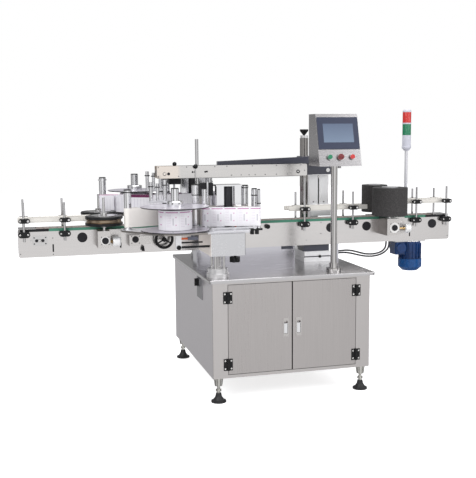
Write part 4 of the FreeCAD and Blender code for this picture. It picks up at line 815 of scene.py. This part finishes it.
def printed_web(name, along, low, band_low, band_high, band_color, soft_mark):
    """Label stock: white, with a coloured band near its top, and cells along one axis that
    each hold rows of fine dashes, one upright grey bar and two small soft marks."""
    material, tree, shader = new_material(name)
    place = tree.nodes.new("ShaderNodeTexCoord")
    split = tree.nodes.new("ShaderNodeSeparateXYZ")
    tree.links.new(place.outputs["Object"], split.inputs[0])
    rise = math_node(tree, "SUBTRACT", split.outputs["Z"], low)
    cell = math_node(tree, "FRACT", math_node(tree, "DIVIDE", split.outputs[along], label_cell))
    short = math_node(tree, "FRACT", math_node(tree, "DIVIDE", split.outputs[along], 0.0054))
    dash = math_node(tree, "GREATER_THAN", short, 0.35)
    line = math_node(tree, "MULTIPLY", stretch_of(tree, rise, band_low, band_high),
                     stretch_of(tree, cell, 0.04, 0.90))
    row = math_node(tree, "FRACT", math_node(tree, "DIVIDE", rise, 0.0085))
    words = math_node(tree, "MULTIPLY", stretch_of(tree, row, 0.30, 0.62),
                      stretch_of(tree, rise, 0.018, 0.085))
    words = math_node(tree, "MULTIPLY", words,
                      math_node(tree, "MULTIPLY", stretch_of(tree, cell, 0.10, 0.40), dash))
    tall = math_node(tree, "MULTIPLY", stretch_of(tree, cell, 0.50, 0.565),
                     stretch_of(tree, rise, 0.028, 0.064))
    dots = math_node(tree, "MULTIPLY", stretch_of(tree, cell, 0.70, 0.79),
                     math_node(tree, "MAXIMUM", stretch_of(tree, rise, 0.066, 0.072),
                               stretch_of(tree, rise, 0.026, 0.032)))
    edge = math_node(tree, "GREATER_THAN", cell, 0.98)
    color = (0.80, 0.79, 0.82)
    for mask, tone in ((words, (0.62, 0.56, 0.63)), (line, band_color), (tall, (0.42, 0.41, 0.45)),
                       (dots, soft_mark), (edge, (0.66, 0.65, 0.68))):
        color = blend_color(tree, mask, color, tone)
    tree.links.new(color, shader.inputs["Base Color"])
    ripple = tree.nodes.new("ShaderNodeTexNoise")
    ripple.inputs["Scale"].default_value = 9.0
    tree.links.new(place.outputs["Object"], ripple.inputs["Vector"])
    tree.links.new(spread_range(tree, ripple.outputs["Fac"], 0.3, 0.7, 0.28, 0.40),
                   shader.inputs["Roughness"])
    lift = tree.nodes.new("ShaderNodeBump")
    lift.inputs["Strength"].default_value = 0.15
    lift.inputs["Distance"].default_value = 0.003
    tree.links.new(ripple.outputs["Fac"], lift.inputs["Height"])
    tree.links.new(lift.outputs[0], shader.inputs["Normal"])
    return material


# Liner of the rear head: the bare inner face of the web, with the dark
# band, thin line and faint columns that show on that side.
tree = liner_rear.node_tree
place = tree.nodes.new("ShaderNodeTexCoord")
split = tree.nodes.new("ShaderNodeSeparateXYZ")
tree.links.new(place.outputs["Object"], split.inputs[0])
dark_band = math_node(tree, "MULTIPLY", stretch_of(tree, split.outputs["Z"], 1.042, 1.0585),
                      stretch_of(tree, split.outputs["X"], -0.634, -0.512))
thin_line = math_node(tree, "MULTIPLY", stretch_of(tree, split.outputs["Z"], 1.0555, 1.0585),
                      stretch_of(tree, split.outputs["X"], -0.90, -0.700))
columns = math_node(tree, "FRACT", math_node(tree, "DIVIDE", split.outputs["X"], 0.017))
columns = math_node(tree, "MULTIPLY", math_node(tree, "GREATER_THAN", columns, 0.86),
                    stretch_of(tree, split.outputs["Z"], 0.965, 1.036))
shader = tree.nodes["Principled BSDF"]
tone = shader.inputs["Base Color"].links[0].from_socket
for mask, ink in ((columns, (0.62, 0.60, 0.66)), (thin_line, (0.60, 0.28, 0.45)),
                  (dark_band, (0.12, 0.010, 0.065))):
    tone = blend_color(tree, mask, tone, ink)
tree.links.new(tone, shader.inputs["Base Color"])


# Both heads in turn: the rear one is mirrored, stands higher and lies
# further to the infeed end, with a smaller reel.
for side, sign, shift, rise, base, reel_x, reel_y, reel_radius in (
        ("front", -1, 0.0, 0.0, 0.0, -0.480, -0.334, 0.181),
        ("rear", 1, -0.108, 0.045, 0.080, -0.588, 0.356, 0.159)):
    # Deck: upright edges under the reel disc take the darker copy, as painted shade; block faces turned
    # to -x take the lighter warm copy, as painted light.
    paint(side + "_head_deck", [deck_aluminium, head_block, roller_bright, coder_black, shaded_deck_edge,
                                lit_block_side],
          lambda c, n, z, r=rise, b=base, s=shift: np.where(
              c[:, 2] < 0.8879 + r,
              np.where(c[:, 0] < -0.3121 + b, 3, np.where(n[:, 0] < -0.9, 5, 1)),
              np.where(c[:, 2] > 0.9135 + r, 2,
                       np.where((np.abs(n[:, 2]) < 0.3) & (c[:, 0] < -0.33 + s)
                                & (c[:, 2] < 0.899 + r), 4, 0))))
    paint(side + "_web_guides", [roller_bright, ring_black, coder_black],
          lambda c, n, z, r=rise, s=shift: np.where(
              (c[:, 2] < 0.8981 + r)
              | ((c[:, 0] > -0.3095 + s) & (c[:, 0] < -0.2385 + s) & (c[:, 2] > 1.0695 + r)
                 & (np.abs(c[:, 1]) < 0.1905) & (c[:, 2] < 1.1401 + r)), 2,
              (inside_bands(z, ring_bands + cap_bands, r)
               & ~((c[:, 0] < -0.76) & (z[:, 1] < 1.1462))).astype(int)))
    low = 0.912 + rise
    if side == "rear":
        stock = (0.066, 0.0985, (0.16, 0.012, 0.085), (0.52, 0.36, 0.46))
    else:
        stock = (0.0915, 0.0955, (0.42, 0.09, 0.30), (0.62, 0.36, 0.52))
    print_x = printed_web(side + "_print_x", "X", low, *stock)
    print_y = printed_web(side + "_print_y", "Y", low, *stock)
    liner = liner_rear if side == "rear" else liner_front
    paint(side + "_label_web", [print_x, print_y, liner],
          lambda c, n, z, s=shift: np.where(
              (np.abs(c[:, 1]) > 0.2445) & (c[:, 0] > -0.70), np.where(c[:, 0] > -0.03 + s, 1, 0),
              np.where((c[:, 0] > -0.02 + s) & (n[:, 0] > 0), 1, 2)))
    paint(side + "_label_roll", [print_x, paper_white],
          lambda c, n, z: (np.abs(n[:, 2]) > 0.5).astype(int))
    paint(side + "_reel_plates", [disc_smoke, disc_rim, roller_bright, ring_black],
          lambda c, n, z, r=rise, x=reel_x, y=reel_y, d=reel_radius: np.where(
              np.hypot(c[:, 0] - x, c[:, 1] - y) > d - 0.004, 1,
              np.where(np.hypot(c[:, 0] - x, c[:, 1] - y) > 0.0445, 0,
                       np.where(z[:, 0] > 1.1219 + r, 3, 2))))
    paint(side + "_drive_roller", [roller_rubber, roller_bright],
          lambda c, n, z, r=rise: (c[:, 2] > 1.1181 + r).astype(int))
    paint(side + "_dancer_arm", [deck_aluminium, roller_bright, ring_black],
          lambda c, n, z, r=rise: np.where(
              inside_bands(z, ((1.118, 1.123), (1.122, 1.127)), r), 2,
              np.where(z[:, 1] > 1.0462 + r, 1, 0)))
    paint(side + "_star_knob", [clamp_black])
    # Block cover: a thin folded sheet over the front and two sides of the lift block; its left side
    # takes the lighter, warmer copy of the metal as painted light.
    front, inner, flange_end = sign * 0.4265, sign * 0.4250, sign * 0.4148
    left, right, foot, top = -0.312 + base, -0.126 + base, 0.770 + rise, 0.8875 + rise
    near, far = sorted((front, inner))
    low_y, high_y = sorted((front, flange_end))
    slabs(side + "_block_cover", [(left + cover_thick, right, near, far, foot, top),
                                  (right - cover_thick, right, low_y, high_y, foot, top)],
          head_block, side + "_head")
    slabs(side + "_block_cover_side", [(left, left + cover_thick, low_y, high_y, foot, top)],
          lit_block_side, side + "_head")
    # Sensor under the deck: a clamp on two bars, its slate body and orange tail.
    near, far = sorted((sign * 0.386, sign * 0.404))
    slabs(side + "_bar_clamp", [(-0.492 + base, -0.463 + base, near, far, 0.812 + rise, 0.8875 + rise)],
          block_aluminium, side + "_head")
    slabs(side + "_sensor_body", [(-0.429 + base, -0.375 + base, near, far, 0.859 + rise, 0.876 + rise),
                                  (-0.410 + base, -0.398 + base, near + 0.004, far - 0.004,
                                   0.876 + rise, 0.8875 + rise)],
          sensor_slate, side + "_head")
    slabs(side + "_sensor_tail", [(-0.463 + base, -0.429 + base, near + 0.003, far - 0.003,
                                   0.862 + rise, 0.872 + rise)],
          sensor_orange, side + "_head")
    rods(side + "_second_bar", [((-0.463 + base, sign * 0.395, 0.846 + rise),
                                 (-0.350 + base, sign * 0.395, 0.846 + rise))],
         0.0042, clamp_black, side + "_head")
    round_heads(side + "_bar_knob", [(-0.477 + base, sign * 0.404, 0.822 + rise)], 0.012, 0.009,
                (0, sign, 0), clamp_black, side + "_head")
    round_heads(side + "_sensor_lamps", [(-0.345 + shift, sign * 0.222, 0.9045 + rise),
                                         (-0.136 + shift, sign * 0.270, 0.9045 + rise)],
                0.0045, 0.003, (0, sign, 0), sensor_orange, side + "_head")
